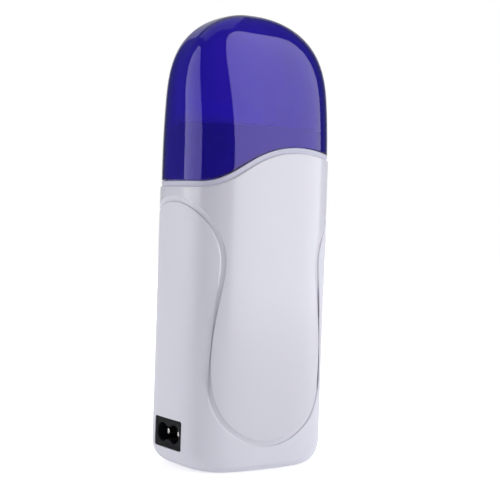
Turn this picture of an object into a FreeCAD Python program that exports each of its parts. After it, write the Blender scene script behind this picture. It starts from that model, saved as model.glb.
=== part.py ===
import FreeCAD, Part
import math
import os
import re

import Sketcher
from FreeCAD import Placement, Rotation, Vector

# A roll-on wax heater: a tall moulded body with a wave-shaped rim and a grip groove, a lift-off cap,
# a heated cartridge chamber and a two-pin mains inlet.
#
# Millimetres. The origin is at the bottom centre, +Z is up, X runs across the broad faces and
# Y through the depth. The inlet is on the -X side; the level window and pilot light face +Y.

SIZES = {
    # outer form: superelliptic sections that close in a dome
    "height": 190.0,
    "width": 70.0,
    "depth": 46.0,
    "section_power": 3.7,
    "side_edge_round": 10.0,
    "face_edge_round": 3.0,
    "side_dome_start": 150.0,
    "side_dome_power": 3.2,
    "face_dome_start": 126.0,
    "face_dome_power": 2.0,
    "wall": 2.4,
    # wave-shaped rim, with an inset band left showing below the cap
    "wave_low": 118.8,
    "wave_crest": 134.2,
    "band_height": 2.5,
    "band_inset": 0.4,
    "rim_gap": 0.3,
    # cap
    "cap_wall": 1.8,
    "cap_clearance": 0.4,
    # grip groove
    "groove_width": 2.4,
    "groove_depth": 0.6,
    "groove_top": 111.0,
    "groove_bottom": 11.0,
    "groove_waist": 24.0,
    "groove_waist_level": 87.0,
    "groove_hip": 29.1,
    "groove_hip_level": 47.0,
    # base cover and its screws
    "base_plate": 1.8,
    "tongue_height": 3.0,
    "tongue_wall": 1.6,
    "tongue_fit": 0.2,
    "base_boss_x": 17.0,
    "base_boss_y": 14.0,
    "base_boss_radius": 3.2,
    "base_web": 1.6,
    "base_boss_height": 12.0,
    "base_boss_gap": 0.2,
    "base_screw_radius": 1.4,
    "base_screw_length": 11.0,
    "base_head_radius": 2.5,
    "base_head_height": 1.6,
    "base_head_recess": 0.5,
    "screw_fit": 0.05,
    "hole_clearance": 0.3,
    # cartridge chamber
    "chamber_length": 52.0,
    "chamber_width": 31.0,
    "chamber_corner": 8.0,
    "deck_level": 142.0,
    "deck_thickness": 2.0,
    "sleeve_wall": 1.4,
    "neck_wall": 1.4,
    "neck_fit": 0.2,
    "neck_reach": 10.0,
    # heating cup
    "cup_bottom": 44.0,
    "cup_height": 53.2,
    "cup_wall": 1.2,
    "cup_step": 0.3,
    "ear_thickness": 1.2,
    "ear_width": 8.0,
    "lug_thickness": 3.0,
    "lug_width": 8.0,
    "sleeve_boss_radius": 2.3,
    "sleeve_boss_sink": 0.3,
    "ear_margin": 1.0,
    "sleeve_boss_height": 10.8,
    "sleeve_screw_radius": 1.1,
    "sleeve_screw_length": 12.0,
    "sleeve_pilot_spare": 1.0,
    "sleeve_head_radius": 2.0,
    "sleeve_head_height": 1.4,
    "jacket_thickness": 1.3,
    "jacket_gap": 0.1,
    "jacket_height": 44.0,
    "jacket_rise": 1.0,
    # heater under the cup
    "heater_length": 30.0,
    "heater_width": 14.0,
    "heater_thickness": 4.5,
    "mica_thickness": 0.5,
    "mica_margin": 1.0,
    "clamp_thickness": 1.0,
    "clamp_length": 48.0,
    "clamp_width": 12.0,
    "clamp_arm_length": 32.0,
    "clamp_arm_width": 14.0,
    "cup_boss_pitch": 40.0,
    "cup_boss_radius": 3.0,
    "clamp_screw_radius": 1.25,
    "clamp_screw_length": 5.0,
    "clamp_head_radius": 2.4,
    "clamp_head_height": 1.6,
    "thermostat_length": 14.0,
    "thermostat_width": 6.0,
    "side_element_offset": 11.5,
    "side_element_play": 0.1,
    "fuse_length": 12.0,
    "stub_length": 2.5,
    "stub_radius": 0.5,
    "heater_stub_offset": 4.5,
    # mains inlet
    "inlet_width": 20.0,
    "inlet_height": 12.0,
    "inlet_level": 14.2,
    "inlet_recess": 0.7,
    "inlet_depth": 16.0,
    "inlet_fit": 0.2,
    "inlet_corner": 0.8,
    "flange_margin": 1.5,
    "flange_thickness": 2.0,
    "socket_depth": 12.0,
    "lobe_radius": 3.9,
    "socket_waist": 5.4,
    "pin_pitch": 8.6,
    "pin_radius": 1.2,
    "pin_root_radius": 1.5,
    "pin_setback": 2.5,
    "pin_fit": 0.02,
    "blade_length": 7.0,
    "blade_height": 4.0,
    "blade_thickness": 0.8,
    "terminal_length": 10.0,
    "terminal_wall": 0.5,
    "terminal_fit": 0.05,
    "terminal_back": 1.0,
    "terminal_overlap": 6.0,
    "barrel_radius": 1.4,
    "barrel_length": 4.0,
    # level window
    "window_width": 9.0,
    "window_height": 44.0,
    "window_level": 71.0,
    "window_fit": 0.15,
    "window_margin": 1.5,
    "slot_margin": 1.0,
    "window_flange": 1.0,
    "face_inset": 0.1,
    # pilot light
    "lamp_level": 30.0,
    "lens_radius": 2.5,
    "lens_fit": 0.1,
    "lens_flange_radius": 3.5,
    "lens_flange": 1.0,
    "seat_gap": 0.2,
    "lamp_radius": 2.0,
    "lamp_length": 9.0,
    "lamp_gap": 0.4,
    "lamp_leg_pitch": 2.0,
    "lamp_leg_radius": 0.3,
    "board_length": 22.0,
    "board_width": 10.0,
    "board_thickness": 1.6,
    "board_gap": 0.2,
    "board_offset": 8.0,
    "post_pitch": 16.0,
    "post_offset": 9.0,
    "post_radius": 2.2,
    "peg_radius": 1.0,
    "peg_fit": 0.05,
    "peg_rise": 0.6,
    "resistor_length": 6.5,
    "resistor_radius": 1.2,
    "resistor_offset": 5.2,
    "resistor_lift": 0.1,
    "resistor_lead": 1.5,
    "resistor_leg_inset": 0.15,
    # leads
    "lead_radius": 0.75,
    "lamp_lead_radius": 0.5,
}

UP = Vector(0, 0, 1)
QUARTER_STEPS = 10
FOOT_STEPS = 8
DOME_STEPS = 11
DOME_END_ANGLE = 86.0
TIP_FLAT = 0.001
CURVE_SAMPLES = 28
OUTSIDE = 1.3


def worked_out(s):
    """Returns the sizes and places that follow from the driving ones."""
    d = {}
    half_width = s["width"] / 2
    half_depth = s["depth"] / 2

    def inside_y(x, inset):
        return section_reach(half_depth - inset, x, half_width - inset, s["section_power"])

    def inside_x(y, inset):
        return section_reach(half_width - inset, y, half_depth - inset, s["section_power"])

    # base screws reach up into bosses that webs join to the broad walls
    d["tongue_top"] = s["base_plate"] + s["tongue_height"]
    d["base_boss_bottom"] = d["tongue_top"] + s["base_boss_gap"]
    d["tongue_inset"] = s["wall"] + s["tongue_fit"]

    # chamber, from the deck down to the cup's floor
    d["cup_top"] = s["cup_bottom"] + s["cup_height"]
    d["sleeve_length"] = s["chamber_length"] + 2 * s["sleeve_wall"]
    d["sleeve_width"] = s["chamber_width"] + 2 * s["sleeve_wall"]
    d["sleeve_corner"] = s["chamber_corner"] + s["sleeve_wall"]
    d["cup_inner_length"] = s["chamber_length"] - 2 * s["cup_step"]
    d["cup_inner_width"] = s["chamber_width"] - 2 * s["cup_step"]
    d["cup_inner_corner"] = s["chamber_corner"] - s["cup_step"]
    d["cup_length"] = d["cup_inner_length"] + 2 * s["cup_wall"]
    d["cup_width"] = d["cup_inner_width"] + 2 * s["cup_wall"]
    d["cup_corner"] = d["cup_inner_corner"] + s["cup_wall"]
    d["cup_depth"] = s["cup_height"] - s["cup_wall"]
    d["neck_inset"] = s["wall"] + s["neck_fit"]
    d["neck_bottom"] = s["wave_low"] - s["neck_reach"]
    d["neck_height"] = s["deck_level"] - d["neck_bottom"]

    # ears, lugs and bosses share one screw axis on each narrow side
    d["sleeve_screw_x"] = d["sleeve_length"] / 2 + s["sleeve_boss_radius"] - s["sleeve_boss_sink"]
    d["sleeve_screw_pitch"] = 2 * d["sleeve_screw_x"]
    d["ear_bottom"] = d["cup_top"] - s["ear_thickness"]
    d["ear_span"] = 2 * (d["sleeve_screw_x"] + s["sleeve_screw_radius"] + s["ear_margin"])
    d["lug_bottom"] = d["ear_bottom"] - s["lug_thickness"]
    d["lug_start"] = d["cup_length"] / 2 + s["hole_clearance"]
    d["ear_hole_radius"] = s["sleeve_screw_radius"] + s["hole_clearance"]
    d["sleeve_pilot_length"] = s["sleeve_screw_length"] + s["sleeve_pilot_spare"]
    d["jacket_inner_length"] = d["cup_length"] + 2 * s["jacket_gap"]
    d["jacket_inner_width"] = d["cup_width"] + 2 * s["jacket_gap"]
    d["jacket_inner_corner"] = d["cup_corner"] + s["jacket_gap"]
    d["jacket_length"] = d["jacket_inner_length"] + 2 * s["jacket_thickness"]
    d["jacket_width"] = d["jacket_inner_width"] + 2 * s["jacket_thickness"]
    d["jacket_corner"] = d["jacket_inner_corner"] + s["jacket_thickness"]
    d["jacket_bottom"] = s["cup_bottom"] + s["jacket_rise"]

    # heater stack, pressed up against the cup's floor
    d["stack_height"] = s["heater_thickness"] + s["mica_thickness"]
    d["clamp_top"] = s["cup_bottom"] - d["stack_height"]
    d["clamp_bottom"] = d["clamp_top"] - s["clamp_thickness"]
    d["heater_bottom"] = s["cup_bottom"] - s["heater_thickness"]
    d["mica_length"] = s["heater_length"] + 2 * s["mica_margin"]
    d["mica_width"] = s["heater_width"] + 2 * s["mica_margin"]
    d["clamp_hole_radius"] = s["clamp_screw_radius"] + s["hole_clearance"]
    d["clamp_pilot_radius"] = s["clamp_screw_radius"] + s["screw_fit"]
    d["side_element_level"] = s["cup_bottom"] - d["stack_height"] / 2
    d["fuse_radius"] = d["stack_height"] / 2 - s["side_element_play"]
    d["thermostat_height"] = d["stack_height"] - 2 * s["side_element_play"]

    # inlet: the face lies just behind the narrow side, the flange just behind its wall
    d["inlet_face"] = half_width - s["inlet_recess"]
    d["inlet_flange_width"] = s["inlet_width"] + 2 * s["flange_margin"]
    d["inlet_flange_height"] = s["inlet_height"] + 2 * s["flange_margin"]
    drawn_in = edge_loss(s["inlet_level"] - d["inlet_flange_height"] / 2, s["side_edge_round"])
    d["flange_face"] = inside_x(d["inlet_flange_width"] / 2, s["wall"]) - drawn_in - s["seat_gap"]
    d["inlet_back"] = d["inlet_face"] - s["inlet_depth"]
    d["pin_tip"] = d["inlet_face"] - s["pin_setback"]
    d["pin_hole_radius"] = s["pin_root_radius"] + s["pin_fit"]
    d["socket_floor"] = d["inlet_face"] - s["socket_depth"]
    d["terminal_start"] = d["inlet_back"] - s["blade_length"] + s["terminal_overlap"]
    d["terminal_end"] = d["terminal_start"] - s["terminal_length"]
    d["barrel_end"] = d["terminal_end"] - s["barrel_length"]

    # window, lens, lamp and board line up behind the +Y face
    d["window_flange_width"] = s["window_width"] + 2 * s["window_margin"]
    d["window_flange_height"] = s["window_height"] + 2 * s["window_margin"]
    d["inner_face"] = inside_y(d["window_flange_width"] / 2, s["wall"]) - s["seat_gap"]
    d["cup_slot_width"] = s["window_width"] - s["slot_margin"]
    d["cup_slot_height"] = s["window_height"] - 4 * s["slot_margin"]
    d["jacket_slot_height"] = 2 * s["jacket_height"]
    d["jacket_slot_width"] = d["window_flange_width"] + 2 * s["slot_margin"]
    d["lens_back"] = d["inner_face"] - s["lens_flange"]
    d["lamp_front"] = d["lens_back"] - s["lamp_gap"]
    d["board_top"] = s["lamp_level"] - s["lamp_radius"] - s["board_gap"]
    d["board_bottom"] = d["board_top"] - s["board_thickness"]
    d["peg_hole_radius"] = s["peg_radius"] + s["peg_fit"]
    return d


def section_reach(reach, across, half_across, power):
    """Half reach of a superelliptic section at a distance across it."""
    return reach * (1 - (across / half_across) ** power) ** (1 / power)


def edge_loss(level, radius):
    """How far a rounded bottom edge has drawn in at a level."""
    if level >= radius:
        return 0.0
    return radius - math.sqrt(radius ** 2 - (radius - level) ** 2)


def make_sheet(values):
    """Fills the spreadsheet that every feature reads."""
    sheet = doc.addObject("Spreadsheet::Sheet", "size")
    for row, (alias, value) in enumerate(values.items(), start=1):
        sheet.set(f"A{row}", alias)
        sheet.set(f"B{row}", str(value))
        sheet.setAlias(f"B{row}", alias)
    doc.recompute()
    return sheet


doc = FreeCAD.newDocument("roll_on_wax_heater")
sheet = make_sheet({**SIZES, **worked_out(SIZES)})
nodes = []


def size(alias):
    """Reads one number from the sheet."""
    return float(sheet.get(alias))


def formula(text):
    """Points each name in an expression at the sheet."""
    return re.sub(r"[a-z]\w*", lambda name: f"size.{name[0]}", text)


def bind(item, **properties):
    for name, text in properties.items():
        item.setExpression(name, formula(text))


def place(item, x="0", y="0", z="0"):
    for axis, text in (("x", x), ("y", y), ("z", z)):
        item.setExpression(f"Placement.Base.{axis}", formula(text))


def keep(item):
    """Lists a finished sub-part for export."""
    nodes.append(item)
    return item


# ---------------------------------------------------------------- Part helpers

def feature(name, shape):
    item = doc.addObject("Part::Feature", name)
    item.Shape = shape
    return item


def box(name, sides, corner):
    item = doc.addObject("Part::Box", name)
    bind(item, Length=sides[0], Width=sides[1], Height=sides[2])
    place(item, *corner)
    return item


def cylinder(name, radius, length, start, along="z"):
    """A cylinder that runs from start in the direction of the named positive axis."""
    item = doc.addObject("Part::Cylinder", name)
    bind(item, Radius=radius, Height=length)
    turns = {"x": Rotation(Vector(0, 1, 0), 90), "y": Rotation(Vector(1, 0, 0), -90), "z": Rotation()}
    item.Placement = Placement(Vector(), turns[along])
    place(item, *start)
    return item


def cut(name, base, *tools):
    for number, tool in enumerate(tools):
        last = number == len(tools) - 1
        item = doc.addObject("Part::Cut", name if last else f"{name}_cut_{number}")
        item.Base = base
        item.Tool = tool
        base = item
    return base


def fuse(name, *pieces):
    item = doc.addObject("Part::MultiFuse", name)
    item.Shapes = list(pieces)
    item.Refine = True
    return item


def common(name, base, tool):
    item = doc.addObject("Part::Common", name)
    item.Base = base
    item.Tool = tool
    return item


def group(name, pieces):
    item = doc.addObject("Part::Compound", name)
    item.Links = list(pieces)
    return item


def screw(name, shank_radius, length, head_radius, head_height, spot):
    """A pan-head screw that points up, its head just below spot, with a cross recess."""
    x, y, z = spot
    under = f"{z} - {head_height}"
    shank = cylinder(f"{name}_shank", shank_radius, length, (x, y, z))
    head = cylinder(f"{name}_head", head_radius, head_height, (x, y, under))
    blank = fuse(f"{name}_blank", shank, head)
    reach = f"1.2 * {head_radius}"
    narrow = f"0.3 * {head_radius}"
    deep = f"0.6 * {head_height}"
    slots = [
        box(
            f"{name}_slot_{number}", (along, across, deep),
            (f"{x} - {along} / 2", f"{y} - {across} / 2", under),
        )
        for number, (along, across) in enumerate(((reach, narrow), (narrow, reach)))
    ]
    return cut(name, blank, *slots)


# ---------------------------------------------------------------- outer form

def dome_share(level, start, top, power):
    """Share of the full half size that is left at a level of the dome."""
    if level <= start:
        return 1.0
    return math.sqrt(1 - ((level - start) / (top - start)) ** power)


def quarter_ring(quarter):
    """One quarter of a superelliptic ring with unit reaches, square to both axes at its ends."""
    power = size("section_power")
    angles, points = [], []
    for step in range(QUARTER_STEPS + 1):
        angle = math.pi / 2 * (quarter + step / QUARTER_STEPS)
        across, through = math.cos(angle), math.sin(angle)
        reach = (abs(across) ** power + abs(through) ** power) ** (-1 / power)
        angles.append(angle)
        points.append(Vector(reach * across, reach * through, 0))
    start, end = (UP.cross(point) for point in (points[0], points[-1]))
    curve = Part.BSplineCurve()
    curve.interpolate(Points=points, Parameters=angles, InitialTangent=start, FinalTangent=end)
    return curve


def reaches(level, inset, top):
    """Half width and half depth at a level, inset from the outer form, under a dome that ends at top."""
    side = (size("width") / 2 - inset) * dome_share(
        level, size("side_dome_start"), top, size("side_dome_power")
    ) - edge_loss(level, size("side_edge_round"))
    face = (size("depth") / 2 - inset) * dome_share(
        level, size("face_dome_start"), top, size("face_dome_power")
    ) - edge_loss(level, size("face_edge_round"))
    return Vector(side, face, level)


def foot_levels(low, high):
    """Levels between two heights of the rounded foot, closest where it draws in most."""
    radius = max(size("side_edge_round"), size("face_edge_round"))
    start, end = (math.acos(1 - level / radius) for level in (low, high))
    return [radius * (1 - math.cos(start + (end - start) * n / FOOT_STEPS)) for n in range(FOOT_STEPS + 1)]


def skin(ring, profile):
    """The surface that a quarter ring draws as its two reaches follow the profile."""
    poles = [
        [Vector(around.x * along.x, around.y * along.y, along.z) for along in profile.getPoles()]
        for around in ring.getPoles()
    ]
    surface = Part.BSplineSurface()
    surface.buildFromPolesMultsKnots(
        poles, ring.getMultiplicities(), profile.getMultiplicities(),
        ring.getKnots(), profile.getKnots(), False, False, ring.Degree, profile.Degree,
    )
    return surface


def solid_between(zones, inset, top):
    """A closed solid of the outer form, skinned zone by zone from the lowest level to the highest."""
    rings = [quarter_ring(quarter) for quarter in range(4)]
    bands = []
    for levels in zones:
        profile = spline([reaches(level, inset, top) for level in levels])
        bands.append([skin(ring, profile) for ring in rings])
    bottom = Part.Wire([surface.vIso(surface.bounds()[2]).toShape() for surface in bands[0]])
    lid = Part.Wire([surface.vIso(surface.bounds()[3]).toShape() for surface in bands[-1]])
    faces = [surface.toShape() for band in bands for surface in band]
    shell = Part.Shell(faces + [Part.Face(bottom), Part.Face(lid)])
    shell.sewShape()
    return Part.Solid(shell)


def form(name, inset, top, bottom=0.0):
    """The outer form, inset all round: a rounded foot, a straight trunk and a dome up to top."""
    foot_top = max(size("side_edge_round"), size("face_edge_round"))
    dome_start = min(size("side_dome_start"), size("face_dome_start"))
    dome = [
        dome_start + (top - dome_start) * math.sin(math.radians(DOME_END_ANGLE * n / DOME_STEPS))
        for n in range(DOME_STEPS)
    ]
    zones = [foot_levels(bottom, foot_top), [foot_top, dome_start], dome + [top - TIP_FLAT]]
    return feature(name, solid_between(zones, inset, top))


def foot_slice(name, inset, low, high):
    """The part of the inset outer form between two levels of its foot."""
    return feature(name, solid_between([foot_levels(low, high)], inset, size("height")))


def spline(points):
    curve = Part.BSplineCurve()
    curve.interpolate(points)
    return curve


def beside(curve, distance):
    """The curve moved sideways in the XZ plane, to its left as it runs."""
    points = []
    for number in range(CURVE_SAMPLES + 1):
        at = curve.FirstParameter + (curve.LastParameter - curve.FirstParameter) * number / CURVE_SAMPLES
        along = curve.tangent(at)[0]
        points.append(curve.value(at) + Vector(-along.z, 0, along.x) * distance)
    return spline(points)


def slab(name, edges):
    """A closed outline in the XZ plane, run right through the depth."""
    face = Part.Face(Part.Wire(edges))
    reach = OUTSIDE * size("depth")
    face.translate(Vector(0, -reach, 0))
    return feature(name, face.extrude(Vector(0, 2 * reach, 0)))


def beyond(name, curve, level):
    """Everything between a curve across the form and a level beyond it."""
    start, end = curve.StartPoint, curve.EndPoint
    corners = [end, Vector(end.x, 0, level), Vector(start.x, 0, level), start]
    sides = [Part.LineSegment(a, b).toShape() for a, b in zip(corners, corners[1:])]
    return slab(name, [curve.toShape()] + sides)


def wave():
    """The cap's lower edge across the broad face: low by the inlet, high on the other side."""
    half, low, crest = size("width") / 2, size("wave_low"), size("wave_crest")
    # share of the half width, share of the rise
    course = (
        (-OUTSIDE, 0.16), (-0.89, 0.0), (-0.58, 0.28), (-0.26, 0.69),
        (0.05, 0.93), (0.34, 1.0), (0.76, 0.91), (OUTSIDE, 0.66),
    )
    return spline([Vector(half * x, 0, low + (crest - low) * rise) for x, rise in course])


def groove_line():
    """Centre line of the grip groove: level over the narrow sides, a waist, and a round bottom."""
    top, bottom = size("groove_top"), size("groove_bottom")
    waist, waist_level = size("groove_waist"), size("groove_waist_level")
    hip, hip_level = size("groove_hip"), size("groove_hip_level")
    side = size("width") / 2
    left = [
        Vector(-OUTSIDE * side, 0, top),
        Vector(-side, 0, top),
        Vector(-0.7 * side - 0.3 * waist, 0, top - 0.25 * (top - waist_level)),
        Vector(-waist, 0, waist_level),
        Vector(-0.45 * waist - 0.55 * hip, 0, 0.45 * waist_level + 0.55 * hip_level),
        Vector(-hip, 0, hip_level),
        Vector(-0.8 * hip, 0, bottom + 0.26 * (hip_level - bottom)),
        Vector(-0.43 * hip, 0, bottom + 0.05 * (hip_level - bottom)),
    ]
    right = [Vector(-p.x, 0, p.z) for p in reversed(left)]
    return spline(left + [Vector(0, 0, bottom)] + right)


def groove_band():
    """The groove's full width, run right through the depth."""
    line = groove_line()
    half = size("groove_width") / 2
    one, other = beside(line, half), beside(line, -half)
    ends = [
        Part.LineSegment(one.StartPoint, other.StartPoint).toShape(),
        Part.LineSegment(one.EndPoint, other.EndPoint).toShape(),
    ]
    return slab("groove_band", Part.__sortEdges__([one.toShape(), other.toShape()] + ends))


# ---------------------------------------------------------------- PartDesign helpers

def sketch(body, role, x="0", y="0", z="0"):
    """A sketch on one of the body's own planes, moved in its plane by x and y and off it by z."""
    drawing = body.newObject("Sketcher::SketchObject", f"{body.Name}_sketch")
    plane = next(item for item in body.Origin.OriginFeatures if item.Role == role)
    drawing.AttachmentSupport = (plane, "")
    drawing.MapMode = "FlatFace"
    for axis, text in (("x", x), ("y", y), ("z", z)):
        drawing.setExpression(f"AttachmentOffset.Base.{axis}", formula(text))
    return drawing


def dimension(drawing, name, *constraint):
    """Adds a named constraint and binds it to the cell of the alias that ends it."""
    alias = constraint[-1]
    number = drawing.addConstraint(Sketcher.Constraint(*constraint[:-1], size(alias)))
    drawing.renameConstraint(number, name)
    drawing.setExpression(f"Constraints.{name}", formula(alias))


def draw_circle_pair(drawing, pitch, radius):
    """Two equal circles either side of the sketch's origin, along its first axis."""
    half = size(pitch) / 2
    left, right = (
        drawing.addGeometry(Part.Circle(Vector(x, 0, 0), UP, size(radius))) for x in (-half, half)
    )
    drawing.addConstraint(Sketcher.Constraint("Equal", left, right))
    drawing.addConstraint(Sketcher.Constraint("Symmetric", left, 3, right, 3, -1, 1))
    drawing.addConstraint(Sketcher.Constraint("PointOnObject", left, 3, -1))
    dimension(drawing, "pitch", "DistanceX", left, 3, right, 3, pitch)
    dimension(drawing, "radius", "Radius", left, radius)


def draw_rectangle(drawing, length, width, tag="outer"):
    half_length, half_width = size(length) / 2, size(width) / 2
    corners = [Vector(x * half_length, y * half_width, 0) for x, y in ((-1, -1), (1, -1), (1, 1), (-1, 1))]
    lines = [
        drawing.addGeometry(Part.LineSegment(corners[n], corners[(n + 1) % 4])) for n in range(4)
    ]
    for n in range(4):
        drawing.addConstraint(Sketcher.Constraint("Coincident", lines[n], 2, lines[(n + 1) % 4], 1))
        drawing.addConstraint(Sketcher.Constraint("Horizontal" if n % 2 == 0 else "Vertical", lines[n]))
    drawing.addConstraint(Sketcher.Constraint("Symmetric", lines[0], 1, lines[1], 2, -1, 1))
    dimension(drawing, f"{tag}_length", "DistanceX", lines[0], 1, lines[0], 2, length)
    dimension(drawing, f"{tag}_width", "DistanceY", lines[1], 1, lines[1], 2, width)


def draw_rounded_rectangle(drawing, length, width, corner, tag="outer"):
    """A centred rectangle with four equal corner arcs."""
    x, y, radius = size(length) / 2, size(width) / 2, size(corner)
    lines, arcs = [], []
    for n, (sx, sy) in enumerate(((1, -1), (1, 1), (-1, 1), (-1, -1))):
        centre = Vector(sx * (x - radius), sy * (y - radius), 0)
        circle = Part.Circle(centre, UP, radius)
        start = math.radians(90 * n - 90)
        arcs.append(drawing.addGeometry(Part.ArcOfCircle(circle, start, start + math.pi / 2)))
    ends = ((x - radius, -y), (x, radius - y), (x, y - radius), (x - radius, y))
    ends += tuple((-a, -b) for a, b in ends)
    for n in range(4):
        begin, finish = ends[(2 * n + 1) % 8], ends[(2 * n + 2) % 8]
        lines.append(drawing.addGeometry(Part.LineSegment(Vector(*begin, 0), Vector(*finish, 0))))
    for n in range(4):
        drawing.addConstraint(Sketcher.Constraint("Tangent", arcs[n], 2, lines[n], 1))
        drawing.addConstraint(Sketcher.Constraint("Tangent", lines[n], 2, arcs[(n + 1) % 4], 1))
        drawing.addConstraint(Sketcher.Constraint("Vertical" if n % 2 == 0 else "Horizontal", lines[n]))
    for n in range(1, 4):
        drawing.addConstraint(Sketcher.Constraint("Equal", arcs[0], arcs[n]))
    drawing.addConstraint(Sketcher.Constraint("Symmetric", arcs[0], 3, arcs[2], 3, -1, 1))
    dimension(drawing, f"{tag}_length", "DistanceX", lines[2], 1, lines[0], 1, length)
    dimension(drawing, f"{tag}_width", "DistanceY", lines[3], 1, lines[1], 1, width)
    dimension(drawing, f"{tag}_corner", "Radius", arcs[0], corner)


def draw_figure_eight(drawing, pitch, lobe, waist):
    """Two overlapping lobes joined by a straight waist."""
    half, radius, rise = size(pitch) / 2, size(lobe), size(waist) / 2
    turn = math.asin(rise / radius)
    inner = half - radius * math.cos(turn)
    right = drawing.addGeometry(
        Part.ArcOfCircle(Part.Circle(Vector(half, 0, 0), UP, radius), turn - math.pi, math.pi - turn)
    )
    top = drawing.addGeometry(Part.LineSegment(Vector(inner, rise, 0), Vector(-inner, rise, 0)))
    left = drawing.addGeometry(
        Part.ArcOfCircle(Part.Circle(Vector(-half, 0, 0), UP, radius), turn, 2 * math.pi - turn)
    )
    bottom = drawing.addGeometry(Part.LineSegment(Vector(-inner, -rise, 0), Vector(inner, -rise, 0)))
    chain = [right, top, left, bottom]
    for n in range(4):
        drawing.addConstraint(Sketcher.Constraint("Coincident", chain[n], 2, chain[(n + 1) % 4], 1))
    drawing.addConstraint(Sketcher.Constraint("Horizontal", top))
    drawing.addConstraint(Sketcher.Constraint("Horizontal", bottom))
    drawing.addConstraint(Sketcher.Constraint("Equal", left, right))
    drawing.addConstraint(Sketcher.Constraint("Symmetric", left, 3, right, 3, -1, 1))
    drawing.addConstraint(Sketcher.Constraint("PointOnObject", left, 3, -1))
    dimension(drawing, "pitch", "DistanceX", left, 3, right, 3, pitch)
    dimension(drawing, "lobe", "Radius", right, lobe)
    dimension(drawing, "waist", "DistanceY", bottom, 1, top, 2, waist)


def pad(body, drawing, length, backwards=False):
    item = body.newObject("PartDesign::Pad", f"{body.Name}_pad")
    item.Profile = drawing
    bind(item, Length=length)
    item.Reversed = backwards
    return item


def pocket(body, drawing, length, backwards=False):
    """Cuts against the sketch's normal, or along it when backwards."""
    before = body.Tip
    doc.recompute()
    volume = before.Shape.Volume
    item = body.newObject("PartDesign::Pocket", f"{body.Name}_pocket")
    item.Profile = drawing
    bind(item, Length=length)
    item.Reversed = backwards
    doc.recompute()
    if item.Shape.Volume > volume - 0.01:
        raise ValueError(f"{item.Label} cuts nothing")
    return item


def new_body(label):
    return doc.addObject("PartDesign::Body", label)


# ---------------------------------------------------------------- leads

def route(points):
    """A wire of straight runs joined by tangent arcs as large as the runs allow."""
    corners = []
    for before, at, after in zip(points, points[1:], points[2:]):
        back, ahead = before - at, after - at
        turn = math.pi - back.getAngle(ahead)
        radius = 0.45 * min(back.Length, ahead.Length) / math.tan(turn / 2)
        trim = radius * math.tan(turn / 2)
        start, end = at + back.normalize() * trim, at + ahead.normalize() * trim
        middle_way = (back + ahead).normalize()
        middle = at + middle_way * (radius / math.cos(turn / 2) - radius)
        corners.append((start, middle, end, radius))
    edges = []
    here = points[0]
    for start, middle, end, radius in corners:
        edges.append(Part.LineSegment(here, start).toShape())
        edges.append(Part.Arc(start, middle, end).toShape())
        here = end
    edges.append(Part.LineSegment(here, points[-1]).toShape())
    return Part.Wire(edges), min(corner[3] for corner in corners)


def lead(name, points, radius):
    """An insulated lead along a hand-chosen course."""
    wire, tightest = route([Vector(*point) for point in points])
    path = feature(f"{name}_path", wire)
    first = wire.Edges[0]
    ring = doc.addObject("Part::Circle", f"{name}_ring")
    bind(ring, Radius=radius)
    direction = first.tangentAt(first.FirstParameter)
    ring.Placement = Placement(Vector(*points[0]), Rotation(UP, direction))
    item = doc.addObject("Part::Sweep", name)
    item.Sections = [ring]
    item.Spine = (path, [f"Edge{n + 1}" for n in range(len(wire.Edges))])
    item.Solid = True
    item.Frenet = True
    print(f"{name}: length {wire.Length:.1f}, tightest bend {tightest:.1f}")
    return item


# ---------------------------------------------------------------- shells

cap_top = size("height")
outer_form = form("outer_form", 0.0, cap_top, size("base_plate"))
band_form = form("band_form", size("band_inset"), cap_top)
inner_form = form("inner_form", size("wall"), cap_top - size("wall"))
wave_line = wave()
FAR_BELOW, FAR_ABOVE = -10.0, OUTSIDE * size("height")


def base_holes(name, radius, height, start):
    """Four equal cylinders on the base screws' axes."""
    return group(name, [
        cylinder(
            f"{name}_{number}", radius, height,
            (f"{across} * base_boss_x", f"{through} * base_boss_y", start),
        )
        for number, (across, through) in enumerate(((-1, -1), (1, -1), (1, 1), (-1, 1)))
    ])


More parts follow.
